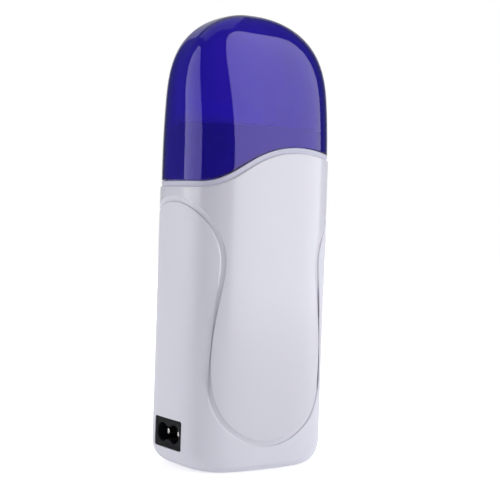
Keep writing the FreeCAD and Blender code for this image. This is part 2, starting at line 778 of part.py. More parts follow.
def make_outer_housing():
    below_cap = beyond("below_cap", beside(wave_line, -size("rim_gap")), FAR_BELOW)
    above_rim = beyond("above_rim", beside(wave_line, -size("band_height")), FAR_ABOVE)
    block = common("housing_block", outer_form, below_cap)
    shell = cut("housing_shell", block, cut("band_step", above_rim, band_form), inner_form)
    groove_core = form("groove_core", size("groove_depth"), cap_top)
    groove = cut("groove_tool", groove_band(), groove_core)
    pins = base_holes("base_boss", "base_boss_radius", "base_boss_height", "base_boss_bottom")
    webs = group("base_boss_web", [
        box(
            f"base_web_{number}",
            ("base_web", "depth / 2 - base_boss_y", "base_boss_height"),
            (f"{across} * base_boss_x - base_web / 2", y, "base_boss_bottom"),
        )
        for number, (across, y) in enumerate(
            ((-1, "-depth / 2"), (1, "-depth / 2"), (1, "base_boss_y"), (-1, "base_boss_y"))
        )
    ])
    lugs = group("sleeve_lug", [
        box(
            f"sleeve_lug_{number}", ("width / 2 - lug_start", "lug_width", "lug_thickness"),
            (x, "-lug_width / 2", "lug_bottom"),
        )
        for number, x in enumerate(("-width / 2", "lug_start"))
    ])
    ribs = common("housing_ribs", fuse("rib_blanks", pins, webs, lugs), band_form)
    pilot = base_holes(
        "base_pilot", "base_screw_radius + screw_fit", "base_screw_length", "tongue_top"
    )
    lug_holes = group("lug_hole", [
        cylinder(
            f"lug_hole_{number}", "sleeve_screw_radius + hole_clearance", "3 * lug_thickness",
            (f"{side} * sleeve_screw_x", "0", "lug_bottom - lug_thickness"),
        )
        for number, side in enumerate((-1, 1))
    ])
    inlet_hole = box(
        "inlet_hole", ("3 * wall", "inlet_width + 2 * inlet_fit", "inlet_height + 2 * inlet_fit"),
        ("-width / 2 - wall", "-inlet_width / 2 - inlet_fit", "inlet_level - inlet_height / 2 - inlet_fit"),
    )
    return keep(cut(
        "outer_housing", fuse("housing_with_ribs", shell, ribs), groove, pilot, lug_holes, inlet_hole,
        oblong("window_hole", "window_width", "window_height", "window_fit"),
        cylinder(
            "lens_hole", "lens_radius + lens_fit", "3 * wall",
            ("0", "depth / 2 - 2 * wall", "lamp_level"), "y",
        ),
    ))


def oblong(name, width, height, grow):
    """A round-ended bar through the +Y wall at the window, grown all round."""
    radius = f"({width} / 2 + {grow})"
    low = f"window_level - {height} / 2 + {width} / 2"
    high = f"window_level + {height} / 2 - {width} / 2"
    back, long = "depth / 2 - 2 * wall", "3 * wall"
    ends = [
        cylinder(f"{name}_end_{number}", radius, long, ("0", back, level), "y")
        for number, level in enumerate((low, high))
    ]
    bar = box(f"{name}_bar", (f"2 * {radius}", long, f"{height} - {width}"), (f"-{radius}", back, low))
    return fuse(name, bar, *ends)


def make_cap():
    inset = size("band_inset") + size("cap_wall")
    hollow = form("cap_hollow", inset, cap_top - size("cap_wall"))
    block = common("cap_block", band_form, beyond("above_wave", wave_line, FAR_ABOVE))
    return keep(cut("cap", block, hollow))


def make_base_cover():
    seam, tongue_top, inset = size("base_plate"), size("tongue_top"), size("tongue_inset")
    plate = foot_slice("base_slice", 0.0, 0.0, seam)
    tongue = cut(
        "tongue",
        foot_slice("tongue_outer", inset, seam, tongue_top),
        foot_slice("tongue_inner", inset + size("tongue_wall"), seam, tongue_top),
    )
    pillars = base_holes("base_pillar", "base_boss_radius", "tongue_height", "base_plate")
    posts = [
        cylinder(
            f"board_post_{number}", "post_radius", "board_bottom - base_plate",
            (f"{side} * post_pitch / 2", "post_offset", "base_plate"),
        )
        for number, side in enumerate((-1, 1))
    ]
    pegs = [
        cylinder(
            f"board_peg_{number}", "peg_radius", "board_thickness + peg_rise",
            (f"{side} * post_pitch / 2", "post_offset", "board_bottom"),
        )
        for number, side in enumerate((-1, 1))
    ]
    rest_top = "inlet_level - inlet_height / 2"
    rest = box(
        "inlet_rest", ("inlet_depth / 2", "inlet_width / 2", f"{rest_top} - base_plate"),
        ("-inlet_back - inlet_depth / 2", "-inlet_width / 4", "base_plate"),
    )
    whole = fuse("base_whole", plate, tongue, pillars, rest, *posts, *pegs)
    return keep(cut(
        "base_cover", whole,
        base_holes("base_clear", "base_screw_radius + hole_clearance", "2 * tongue_top", "-base_plate"),
        base_holes(
            "base_counterbore", "base_head_radius + hole_clearance",
            "base_head_height + base_head_recess", "0",
        ),
    ))


def make_base_screws():
    screws = [
        screw(
            f"base_screw_{number}", "base_screw_radius", "base_screw_length", "base_head_radius",
            "base_head_height",
            (f"{across} * base_boss_x", f"{through} * base_boss_y", "(base_head_height + base_head_recess)"),
        )
        for number, (across, through) in enumerate(((-1, -1), (1, -1), (1, 1), (-1, 1)))
    ]
    return keep(group("base_screws", screws))


# ---------------------------------------------------------------- chamber

def rounded_prism(label, length, width, corner, bottom, height):
    body = new_body(label)
    drawing = sketch(body, "XY_Plane", z=bottom)
    draw_rounded_rectangle(drawing, length, width, corner)
    pad(body, drawing, height)
    return body


def make_chamber_sleeve():
    neck_form = form("neck_form", size("neck_inset"), cap_top - size("cap_wall") - size("cap_clearance"))
    neck_core = form("neck_core", size("neck_inset") + size("neck_wall"), cap_top - size("wall"))
    neck_level = box(
        "neck_level", ("2 * width", "2 * depth", "neck_height"), ("-width", "-depth", "neck_bottom")
    )
    skirt = common("skirt", cut("skirt_all", neck_form, neck_core), neck_level)
    deck_level = box(
        "deck_slice", ("2 * width", "2 * depth", "deck_thickness"),
        ("-width", "-depth", "deck_level - deck_thickness"),
    )
    deck = common("deck", neck_form, deck_level)
    liner = rounded_prism(
        "liner", "sleeve_length", "sleeve_width", "sleeve_corner", "cup_top", "deck_level - cup_top"
    )
    bosses = group("sleeve_boss", [
        cylinder(
            f"sleeve_boss_{number}", "sleeve_boss_radius", "sleeve_boss_height",
            (f"{side} * sleeve_screw_x", "0", "cup_top"),
        )
        for number, side in enumerate((-1, 1))
    ])
    inside_neck = common("sleeve_bosses", bosses, neck_form)
    hollow = rounded_prism(
        "chamber_hollow", "chamber_length", "chamber_width", "chamber_corner", "cup_top - cup_step",
        "deck_level - cup_top + 2 * cup_step",
    )
    pilots = group("sleeve_pilot", [
        cylinder(
            f"sleeve_pilot_{number}", "sleeve_screw_radius + screw_fit", "sleeve_pilot_length",
            (f"{side} * sleeve_screw_x", "0", "lug_bottom"),
        )
        for number, side in enumerate((-1, 1))
    ])
    return keep(cut("chamber_sleeve", fuse("sleeve_blank", skirt, deck, liner, inside_neck), hollow, pilots))


def make_heating_cup():
    cup = rounded_prism("heating_cup", "cup_length", "cup_width", "cup_corner", "cup_bottom", "cup_height")
    ears = sketch(cup, "XY_Plane", z="ear_bottom")
    draw_rectangle(ears, "ear_span", "ear_width")
    pad(cup, ears, "ear_thickness")
    inside = sketch(cup, "XY_Plane", z="cup_top")
    draw_rounded_rectangle(inside, "cup_inner_length", "cup_inner_width", "cup_inner_corner")
    pocket(cup, inside, "cup_depth")
    ear_holes = sketch(cup, "XY_Plane", z="cup_top")
    draw_circle_pair(ear_holes, "sleeve_screw_pitch", "ear_hole_radius")
    pocket(cup, ear_holes, "2 * ear_thickness")
    bosses = sketch(cup, "XY_Plane", z="cup_bottom")
    draw_circle_pair(bosses, "cup_boss_pitch", "cup_boss_radius")
    pad(cup, bosses, "stack_height", backwards=True)
    pilots = sketch(cup, "XY_Plane", z="clamp_top")
    draw_circle_pair(pilots, "cup_boss_pitch", "clamp_pilot_radius")
    pocket(cup, pilots, "clamp_screw_length", backwards=True)
    slot = sketch(cup, "XZ_Plane", y="window_level")
    draw_rectangle(slot, "cup_slot_width", "cup_slot_height")
    pocket(cup, slot, "cup_width")
    return keep(cup)


def make_insulation_jacket():
    jacket = new_body("insulation_jacket")
    ring = sketch(jacket, "XY_Plane", z="jacket_bottom")
    draw_rounded_rectangle(ring, "jacket_length", "jacket_width", "jacket_corner")
    draw_rounded_rectangle(ring, "jacket_inner_length", "jacket_inner_width", "jacket_inner_corner", "inner")
    pad(jacket, ring, "jacket_height")
    slot = sketch(jacket, "XZ_Plane", y="window_level")
    draw_rectangle(slot, "jacket_slot_width", "jacket_slot_height")
    pocket(jacket, slot, "jacket_width")
    return keep(jacket)


def make_sleeve_screws():
    screws = [
        screw(
            f"sleeve_screw_{number}", "sleeve_screw_radius", "sleeve_screw_length", "sleeve_head_radius",
            "sleeve_head_height", (f"{side} * sleeve_screw_x", "0", "lug_bottom"),
        )
        for number, side in enumerate((-1, 1))
    ]
    return keep(group("sleeve_screws", screws))


# ---------------------------------------------------------------- heater

def make_ptc_heater():
    block = new_body("heater_block")
    outline = sketch(block, "XY_Plane", z="heater_bottom")
    draw_rectangle(outline, "heater_length", "heater_width")
    pad(block, outline, "heater_thickness")
    stubs = [
        cylinder(
            f"heater_stub_{number}", "stub_radius", "stub_length + stub_radius",
            ("-heater_length / 2 - stub_length", f"{side} * heater_stub_offset", "side_element_level"), "x",
        )
        for number, side in enumerate((-1, 1))
    ]
    return keep(fuse("ptc_heater", block, *stubs))


def make_mica_sheet():
    mica = new_body("mica_sheet")
    outline = sketch(mica, "XY_Plane", z="clamp_top")
    draw_rectangle(outline, "mica_length", "mica_width")
    pad(mica, outline, "mica_thickness")
    return keep(mica)


def make_heater_clamp():
    clamp = new_body("heater_clamp")
    strip = sketch(clamp, "XY_Plane", z="clamp_bottom")
    draw_rectangle(strip, "clamp_length", "clamp_width")
    pad(clamp, strip, "clamp_thickness")
    arms = sketch(clamp, "XY_Plane", z="clamp_bottom")
    draw_rectangle(arms, "clamp_arm_width", "clamp_arm_length")
    pad(clamp, arms, "clamp_thickness")
    holes = sketch(clamp, "XY_Plane", z="clamp_top")
    draw_circle_pair(holes, "cup_boss_pitch", "clamp_hole_radius")
    pocket(clamp, holes, "2 * clamp_thickness")
    return keep(clamp)


def make_clamp_screws():
    screws = [
        screw(
            f"clamp_screw_{number}", "clamp_screw_radius", "clamp_screw_length", "clamp_head_radius",
            "clamp_head_height", (f"{side} * cup_boss_pitch / 2", "0", "clamp_bottom"),
        )
        for number, side in enumerate((-1, 1))
    ]
    return keep(group("clamp_screws", screws))


def side_stubs(name, length, offset):
    """Connection stubs at both ends of an element that lies along X beside the heater."""
    whole = f"{length} + 2 * stub_length"
    return cylinder(name, "stub_radius", whole, (f"-({whole}) / 2", offset, "side_element_level"), "x")


def make_thermostat():
    case = new_body("thermostat_case")
    outline = sketch(case, "XY_Plane", y="side_element_offset", z="clamp_top + side_element_play")
    draw_rectangle(outline, "thermostat_length", "thermostat_width")
    pad(case, outline, "thermostat_height")
    stubs = side_stubs("thermostat_stubs", "thermostat_length", "side_element_offset")
    return keep(fuse("thermostat", case, stubs))


def make_thermal_fuse():
    case = cylinder(
        "fuse_case", "fuse_radius", "fuse_length",
        ("-fuse_length / 2", "-side_element_offset", "side_element_level"), "x",
    )
    return keep(fuse("thermal_fuse", case, side_stubs("fuse_stubs", "fuse_length", "-side_element_offset")))


# ---------------------------------------------------------------- inlet

def make_inlet_housing():
    inlet = new_body("inlet_housing")
    front = {"y": "inlet_level", "z": "-inlet_face"}
    block = sketch(inlet, "YZ_Plane", **front)
    draw_rounded_rectangle(block, "inlet_width", "inlet_height", "inlet_corner")
    pad(inlet, block, "inlet_depth")
    flange = sketch(inlet, "YZ_Plane", y="inlet_level", z="-flange_face")
    draw_rounded_rectangle(flange, "inlet_flange_width", "inlet_flange_height", "inlet_corner")
    pad(inlet, flange, "flange_thickness")
    socket = sketch(inlet, "YZ_Plane", **front)
    draw_figure_eight(socket, "pin_pitch", "lobe_radius", "socket_waist")
    pocket(inlet, socket, "socket_depth", backwards=True)
    holes = sketch(inlet, "YZ_Plane", **front)
    draw_circle_pair(holes, "pin_pitch", "pin_hole_radius")
    pocket(inlet, holes, "inlet_depth", backwards=True)
    return keep(inlet)


def make_inlet_pins():
    pins = []
    for number, side in enumerate((-1, 1)):
        across = f"{side} * pin_pitch / 2"
        rod = cylinder(
            f"pin_rod_{number}", "pin_radius", "pin_tip - socket_floor",
            ("-pin_tip", across, "inlet_level"), "x",
        )
        root = cylinder(
            f"pin_root_{number}", "pin_root_radius", "socket_floor - inlet_back",
            ("-socket_floor", across, "inlet_level"), "x",
        )
        blade = box(
            f"pin_blade_{number}", ("blade_length", "blade_thickness", "blade_height"),
            ("-inlet_back", f"{across} - blade_thickness / 2", "inlet_level - blade_height / 2"),
        )
        pins.append(fuse(f"inlet_pin_{number}", rod, root, blade))
    return keep(group("inlet_pins", pins))


def make_inlet_terminals():
    terminals = []
    thick = "(blade_thickness + 2 * terminal_wall)"
    tall = "(blade_height + 2 * terminal_wall)"
    for number, side in enumerate((-1, 1)):
        across = f"{side} * pin_pitch / 2"
        shell = box(
            f"terminal_shell_{number}", ("terminal_length", thick, tall),
            ("-terminal_start", f"{across} - {thick} / 2", f"inlet_level - {tall} / 2"),
        )
        barrel = cylinder(
            f"terminal_barrel_{number}", "barrel_radius", "barrel_length",
            ("-terminal_end", across, "inlet_level"), "x",
        )
        slot = box(
            f"terminal_slot_{number}",
            (
                "terminal_length - terminal_back", "blade_thickness + 2 * terminal_fit",
                "blade_height + 2 * terminal_fit",
            ),
            (
                "-terminal_start", f"{across} - blade_thickness / 2 - terminal_fit",
                "inlet_level - blade_height / 2 - terminal_fit",
            ),
        )
        terminals.append(cut(f"terminal_{number}", fuse(f"terminal_blank_{number}", shell, barrel), slot))
    return keep(group("inlet_terminals", terminals))


# ---------------------------------------------------------------- window and pilot light

def make_viewing_window():
    face_form = form("face_form", size("face_inset"), cap_top)
    pane = common("window_pane", oblong("window_bar", "window_width", "window_height", "0"), face_form)
    wide = oblong("window_flange_bar", "window_flange_width", "window_flange_height", "0")
    behind = box(
        "behind_wall", ("width", "window_flange", "height"), ("-width / 2", "inner_face - window_flange", "0")
    )
    bridge = box(
        "window_reach", ("width", "depth", "height"), ("-width / 2", "inner_face - window_flange", "0")
    )
    trimmed = common("window_pane_trimmed", pane, bridge)
    return keep(fuse("viewing_window", trimmed, common("window_flange_plate", wide, behind)))


def make_pilot_lens():
    face_form = doc.getObject("face_form")
    stem = cylinder(
        "lens_stem", "lens_radius", "depth", ("0", "lens_back", "lamp_level"), "y"
    )
    flange = cylinder("lens_rim", "lens_flange_radius", "lens_flange", ("0", "lens_back", "lamp_level"), "y")
    return keep(fuse("pilot_lens", common("lens_stem_cut", stem, face_form), flange))


def make_lamp_board():
    board = new_body("lamp_board")
    outline = sketch(board, "XY_Plane", y="board_offset", z="board_bottom")
    draw_rectangle(outline, "board_length", "board_width")
    pad(board, outline, "board_thickness")
    holes = sketch(board, "XY_Plane", y="post_offset", z="board_top")
    draw_circle_pair(holes, "post_pitch", "peg_hole_radius")
    pocket(board, holes, "2 * board_thickness")
    return keep(board)


def make_pilot_lamp():
    back = "(lamp_front - lamp_length)"
    bulb = cylinder("lamp_bulb", "lamp_radius", "lamp_length - lamp_radius", ("0", back, "lamp_level"), "y")
    tip = doc.addObject("Part::Sphere", "lamp_tip")
    bind(tip, Radius="lamp_radius")
    place(tip, "0", "lamp_front - lamp_radius", "lamp_level")
    legs = [
        cylinder(
            f"lamp_leg_{number}", "lamp_leg_radius", "lamp_level - board_top",
            (f"{side} * lamp_leg_pitch / 2", f"{back} + 2 * lamp_leg_radius", "board_top"),
        )
        for number, side in enumerate((-1, 1))
    ]
    return keep(fuse("pilot_lamp", bulb, tip, *legs))


def make_lamp_resistor():
    level = "board_top + resistor_radius + resistor_lift"
    leg_x = "resistor_length / 2 + resistor_lead - lamp_leg_radius - resistor_leg_inset"
    rod = cylinder(
        "resistor_rod", "resistor_radius", "resistor_length",
        ("-resistor_length / 2", "resistor_offset", level), "x",
    )
    wire = cylinder(
        "resistor_wire", "lamp_leg_radius", "resistor_length + 2 * resistor_lead",
        ("-resistor_length / 2 - resistor_lead", "resistor_offset", level), "x",
    )
    legs = [
        cylinder(
            f"resistor_leg_{number}", "lamp_leg_radius", "resistor_radius + resistor_lift",
            (f"{side} * ({leg_x})", "resistor_offset", "board_top"),
        )
        for number, side in enumerate((-1, 1))
    ]
    return keep(fuse("lamp_resistor", rod, wire, *legs))


# ---------------------------------------------------------------- wiring

def make_leads():
    barrel, inlet_level = -size("barrel_end"), size("inlet_level")
    pin, beside_heater = size("pin_pitch") / 2, size("side_element_offset")
    high = size("side_element_level")
    heater_end = -size("heater_length") / 2 - size("stub_length")
    stub = size("heater_stub_offset")
    fuse_end = size("fuse_length") / 2 + size("stub_length")
    thermostat_end = size("thermostat_length") / 2 + size("stub_length")
    turn_x = heater_end - 6.5

    def supply(side, end):
        """From a push-on terminal up the open side of the case to an element's free stub."""
        return [
            (barrel, side * pin, inlet_level), (8, side * pin, inlet_level), (16, side * 7.5, 21),
            (19, side * 10.5, 32), (end + 8, side * beside_heater, high), (end, side * beside_heater, high),
        ]

    def link(side, end):
        """From an element's other stub round to the heater's stub on the same side."""
        return [
            (-end, side * beside_heater, high), (turn_x, side * beside_heater, high),
            (turn_x, side * stub, high), (heater_end, side * stub, high),
        ]

    keep(lead("live_wire", supply(-1, fuse_end), "lead_radius"))
    keep(lead("neutral_wire", supply(1, thermostat_end), "lead_radius"))
    keep(lead("fuse_link", link(-1, fuse_end), "lead_radius"))
    keep(lead("thermostat_link", link(1, thermostat_end), "lead_radius"))

    on_barrel = inlet_level + size("barrel_radius")
    barrel_middle = barrel - size("barrel_length") / 2
    board, board_y = size("board_bottom"), size("board_offset") - 3
    near = [
        (-2, board_y, board), (-2, board_y, board - 5), (barrel_middle, pin, on_barrel + 3.5),
        (barrel_middle, pin, on_barrel),
    ]
    far = [
        (3, board_y, board), (3, board_y, board - 5), (0, -1, on_barrel + 5),
        (barrel_middle, -pin, on_barrel + 4.5), (barrel_middle, -pin, on_barrel),
    ]
    pair = [lead(f"lamp_wire_{n}", points, "lamp_lead_radius") for n, points in enumerate((near, far))]
    keep(group("lamp_wires", pair))


# ---------------------------------------------------------------- build, check and export

def build():
    make_outer_housing()
    make_cap()
    make_base_cover()
    make_base_screws()
    make_chamber_sleeve()
    make_heating_cup()
    make_insulation_jacket()
    make_sleeve_screws()
    make_ptc_heater()
    make_mica_sheet()
    make_heater_clamp()
    make_clamp_screws()
    make_thermostat()
    make_thermal_fuse()
    make_inlet_housing()
    make_inlet_pins()
    make_inlet_terminals()
    make_viewing_window()
    make_pilot_lens()
    make_lamp_board()
    make_pilot_lamp()
    make_lamp_resistor()
    make_leads()
    doc.recompute()


def check():
    for item in doc.Objects:
        if "Invalid" in item.State or "Error" in item.State:
            raise ValueError(f"{item.Label} failed: {item.State}")
    for item in nodes:
        if item.Shape.isNull() or not item.Shape.isValid() or not item.Shape.Solids:
            raise ValueError(f"{item.Label} has no valid solid")


def export():
    os.makedirs("parts", exist_ok=True)
    for item in nodes:
        item.Shape.exportStep(f"parts/{item.Label}.step")
        print(f"{item.Label}: {len(item.Shape.Solids)} solid(s), {item.Shape.Volume:.1f} mm3")


build()
check()
export()
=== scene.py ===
"""Roll-on wax heater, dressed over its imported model.

All lengths are in metres, in the model's own frame: the heater stands on z = 0, its broad faces look
along -Y and +Y, and the mains inlet sits low on the narrow side that looks along -X.
"""
import math
from bisect import bisect_right

import bmesh
import bpy
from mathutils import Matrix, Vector


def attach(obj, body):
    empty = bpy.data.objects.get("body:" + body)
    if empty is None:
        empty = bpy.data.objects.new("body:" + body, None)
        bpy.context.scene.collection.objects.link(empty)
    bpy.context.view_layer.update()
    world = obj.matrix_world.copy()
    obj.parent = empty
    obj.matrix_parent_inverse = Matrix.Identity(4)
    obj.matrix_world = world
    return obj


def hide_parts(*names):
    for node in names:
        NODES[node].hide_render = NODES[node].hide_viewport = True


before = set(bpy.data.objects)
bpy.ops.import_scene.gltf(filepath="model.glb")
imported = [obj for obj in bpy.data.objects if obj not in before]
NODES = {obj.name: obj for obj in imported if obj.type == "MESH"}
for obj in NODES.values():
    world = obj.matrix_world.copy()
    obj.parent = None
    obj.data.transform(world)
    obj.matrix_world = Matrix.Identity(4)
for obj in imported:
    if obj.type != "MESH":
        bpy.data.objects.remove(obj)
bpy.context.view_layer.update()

MM = 0.001

# ---------------------------------------------------------------- sizes of the outer form
HEIGHT = 190 * MM
HALF_WIDTH = 35 * MM
HALF_DEPTH = 23 * MM
SECTION_POWER = 3.7
SIDE_FOOT = 10 * MM
FACE_FOOT = 3 * MM
SIDE_DOME_START = 150 * MM
FACE_DOME_START = 126 * MM
SIDE_DOME_POWER = 3.2
FACE_DOME_POWER = 2.0
WALL = 2.4 * MM
BASE_PLATE = 1.8 * MM

# the cap stands in from the body by the step of the reveal band
BAND_INSET = 0.4 * MM
CAP_WALL = 1.8 * MM
NECK_CLEARANCE = 0.4 * MM


def in_metres(values):
    return [value * MM for value in values]


# ---------------------------------------------------------------- curves and sections

class Course:
    """A smooth course through points, run at an even parameter along their chords."""

    def __init__(self, points):
        self.knots = [0.0]
        for one, other in zip(points, points[1:]):
            self.knots.append(self.knots[-1] + math.dist(one, other))
        self.axes = [self.bends(list(values)) for values in zip(*points)]

    def bends(self, values):
        """Values with their second derivatives, for a spline that is free at both ends."""
        count = len(values)
        lower, rest = [0.0] * count, [0.0] * count
        for n in range(1, count - 1):
            before, after = self.knots[n] - self.knots[n - 1], self.knots[n + 1] - self.knots[n]
            slope = (values[n + 1] - values[n]) / after - (values[n] - values[n - 1]) / before
            pivot = 2 * (before + after) - before * lower[n - 1]
            lower[n] = after / pivot
            rest[n] = (6 * slope - before * rest[n - 1]) / pivot
        second = [0.0] * count
        for n in range(count - 2, 0, -1):
            second[n] = rest[n] - lower[n] * second[n + 1]
        return values, second

    def at(self, place):
        """The point at a place along the course."""
        n = min(max(bisect_right(self.knots, place) - 1, 0), len(self.knots) - 2)
        span = self.knots[n + 1] - self.knots[n]
        b = (place - self.knots[n]) / span
        a = 1 - b
        return tuple(
            a * values[n] + b * values[n + 1]
            + ((a ** 3 - a) * second[n] + (b ** 3 - b) * second[n + 1]) * span ** 2 / 6
            for values, second in self.axes
        )


def between(table, value):
    """Straight-line reading of a table of (value, result) pairs."""
    n = min(max(bisect_right(table, (value, math.inf)) - 1, 0), len(table) - 2)
    (low, first), (high, last) = table[n], table[n + 1]
    return first + (last - first) * (value - low) / (high - low)


def unit_ring(angle):
    """A point of the superelliptic section with both reaches one."""
    across, through = math.cos(angle), math.sin(angle)
    reach = (abs(across) ** SECTION_POWER + abs(through) ** SECTION_POWER) ** (-1 / SECTION_POWER)
    return reach * across, reach * through


def quarter_table(samples=900):
    """How far round a quarter of the trunk lies each section angle, from the narrow side on."""
    table, length, last = [], 0.0, None
    for n in range(samples + 1):
        angle = math.pi / 2 * n / samples
        across, through = unit_ring(angle)
        point = (HALF_WIDTH * across, HALF_DEPTH * through)
        length += math.dist(point, last) if last else 0.0
        table.append((length, angle))
        last = point
    return table


QUARTER = quarter_table()
QUARTER_LENGTH = QUARTER[-1][0]


def edge_loss(level, radius):
    """How far a rounded foot edge stands back at a level."""
    return radius - math.sqrt(radius ** 2 - (radius - max(level, 0.0)) ** 2) if level < radius else 0.0


def dome_share(level, start, top, power):
    """The share of the trunk's reach that is left at a level of the dome."""
    share = min(max((level - start) / (top - start), 0.0), 1.0)
    return math.sqrt(1 - share ** power)


def on_form(way, level, inset=0.0, top=HEIGHT):
    """A point of the outer form: way is the distance round a quarter of the trunk."""
    side = (HALF_WIDTH - inset) * dome_share(level, SIDE_DOME_START, top, SIDE_DOME_POWER)
    face = (HALF_DEPTH - inset) * dome_share(level, FACE_DOME_START, top, FACE_DOME_POWER)
    side -= edge_loss(level, SIDE_FOOT)
    face -= edge_loss(level, FACE_FOOT)
    across, through = unit_ring(between(QUARTER, min(max(way, 0.0), QUARTER_LENGTH)))
    return side * across, face * through, level


def quarters(around):
    """Signs of x and y, and the share of the way from narrow side to broad face, at a share of a turn."""
    turn = 4 * (around % 1.0)
    quarter = int(turn)
    share = turn - quarter
    return (1, -1, -1, 1)[quarter], (1, 1, -1, -1)[quarter], share if quarter % 2 == 0 else 1 - share


# the cap's wavy edge: its lowest level and whole rise, then its points as shares of half width and rise
WAVE_LOW, WAVE_RISE = 118.8 * MM, 15.4 * MM
WAVE_POINTS = (
    (-1.3, 0.16), (-0.89, 0.0), (-0.58, 0.28), (-0.26, 0.69),
    (0.05, 0.93), (0.34, 1.0), (0.76, 0.91), (1.3, 0.66),
)
WAVE_STEPS = 400
WAVE = Course([(HALF_WIDTH * x, WAVE_LOW + WAVE_RISE * rise) for x, rise in WAVE_POINTS])
WAVE_TABLE = [WAVE.at(WAVE.knots[-1] * n / WAVE_STEPS) for n in range(WAVE_STEPS + 1)]


def rim(x, below):
    """Level of the line that runs a distance below the cap's wavy edge."""
    level = between(WAVE_TABLE, x)
    slope = (between(WAVE_TABLE, x + MM) - between(WAVE_TABLE, x - MM)) / (2 * MM)
    return level - below * math.sqrt(1 + slope ** 2)


# ---------------------------------------------------------------- the grip groove's line

# distance round from the narrow side's middle, and level, in millimetres
GROOVE_QUARTER = (
    (0, 111.0), (7.9, 109.9), (14.8, 107.0), (20.7, 101.3), (24.75, 94.3), (26.4, 86.4), (25.0, 74.2),
    (22.8, 62.2), (21.5, 51.0), (21.5, 41.0), (22.8, 32.0), (25.3, 25.7), (29.4, 20.0), (34.6, 15.9),
    (41.0, 12.6), (46.5, 11.2),
)
GROOVE_BOTTOM = 10.9 * MM
# points that are mirrored past each end of the quarter, so that the quarters meet smoothly
MIRRORED = 3


def groove_course():
    """The course of a quarter of the groove, with the places where the quarter starts and ends."""
    quarter = [(way * MM, level * MM) for way, level in GROOVE_QUARTER]
    quarter.append((QUARTER_LENGTH, GROOVE_BOTTOM))
    before = [(-way, level) for way, level in quarter[MIRRORED:0:-1]]
    after = [(2 * QUARTER_LENGTH - way, level) for way, level in quarter[-2:-2 - MIRRORED:-1]]
    course = Course(before + quarter + after)
    return course, course.knots[MIRRORED], course.knots[-1 - MIRRORED]


GROOVE, GROOVE_START, GROOVE_END = groove_course()


def groove_point(share, offset):
    """A place beside the groove's middle: offset is to its upper side, where tongue and shoulder are."""
    place = GROOVE_START + (GROOVE_END - GROOVE_START) * share
    near = 0.1 * MM
    way, level = GROOVE.at(place)
    ahead, behind = GROOVE.at(place + near), GROOVE.at(place - near)
    run = (ahead[0] - behind[0], ahead[1] - behind[1])
    length = math.hypot(*run)
    return way - run[1] / length * offset, level + run[0] / length * offset


# ---------------------------------------------------------------- bench work

def leave_edit():
    if bpy.context.object and bpy.context.object.mode != "OBJECT":
        bpy.ops.object.mode_set(mode="OBJECT")


def deselect_all():
    leave_edit()
    bpy.ops.object.select_all(action="DESELECT")


def take(piece):
    deselect_all()
    piece.select_set(True)
    bpy.context.view_layer.objects.active = piece


def named(piece, name):
    piece.name = name
    piece.data.name = name
    return piece


def pick_rings(piece, wanted):
    """Selects, in edit mode, the vertices whose ring number the test wants."""
    mesh = bmesh.from_edit_mesh(piece.data)
    number = mesh.verts.layers.int["ring"]
    for vert in mesh.verts:
        vert.select = wanted(vert[number])
    mesh.select_flush_mode()
    bmesh.update_edit_mesh(piece.data)


def ringed(name, count, places, first_pole=False, last_pole=False, closed=False):
    """A piece drawn as rings: a circle is extruded ring by ring, and each ring is set in its place."""
    deselect_all()
    bpy.ops.mesh.primitive_circle_add(vertices=count, radius=HALF_WIDTH, fill_type="NOTHING")
    piece = named(bpy.context.object, name)
    bpy.ops.object.mode_set(mode="EDIT")
    bpy.ops.mesh.select_mode(type="VERT")
    bpy.ops.mesh.select_all(action="SELECT")
    mesh = bmesh.from_edit_mesh(piece.data)
    around = mesh.verts.layers.float.new("around")
    for vert in mesh.verts:
        vert[around] = (math.atan2(vert.co.y, vert.co.x) / math.tau) % 1.0
    mesh.verts.layers.int.new("ring")
    for number, place in enumerate(places):
        if number:
            bpy.ops.mesh.extrude_region_move()
        mesh = bmesh.from_edit_mesh(piece.data)
        around, ring = mesh.verts.layers.float["around"], mesh.verts.layers.int["ring"]
        for vert in mesh.verts:
            if vert.select:
                vert.co = place(vert[around])
                vert[ring] = number
        bmesh.update_edit_mesh(piece.data)
    last = len(places) - 1
    if last_pole:
        bpy.ops.mesh.merge(type="CENTER")
    if first_pole:
        pick_rings(piece, lambda number: number == 0)
        bpy.ops.mesh.merge(type="CENTER")
    if closed:
        pick_rings(piece, lambda number: number in (0, last))
        bpy.ops.mesh.remove_doubles(threshold=0.001 * MM)
    bpy.ops.mesh.select_all(action="SELECT")
    bpy.ops.mesh.normals_make_consistent(inside=False)
    leave_edit()
    return piece


def smooth(piece, angle=38):
    take(piece)
    bpy.ops.object.shade_smooth_by_angle(angle=math.radians(angle))
    return piece


def carve(piece, cutter):
    """Cuts the cutter out of the piece and throws the cutter away."""
    take(piece)
    cut = piece.modifiers.new("cut", "BOOLEAN")
    cut.operation, cut.solver, cut.object = "DIFFERENCE", "EXACT", cutter
    bpy.ops.object.modifier_apply(modifier=cut.name)
    bpy.data.objects.remove(cutter)
    return piece


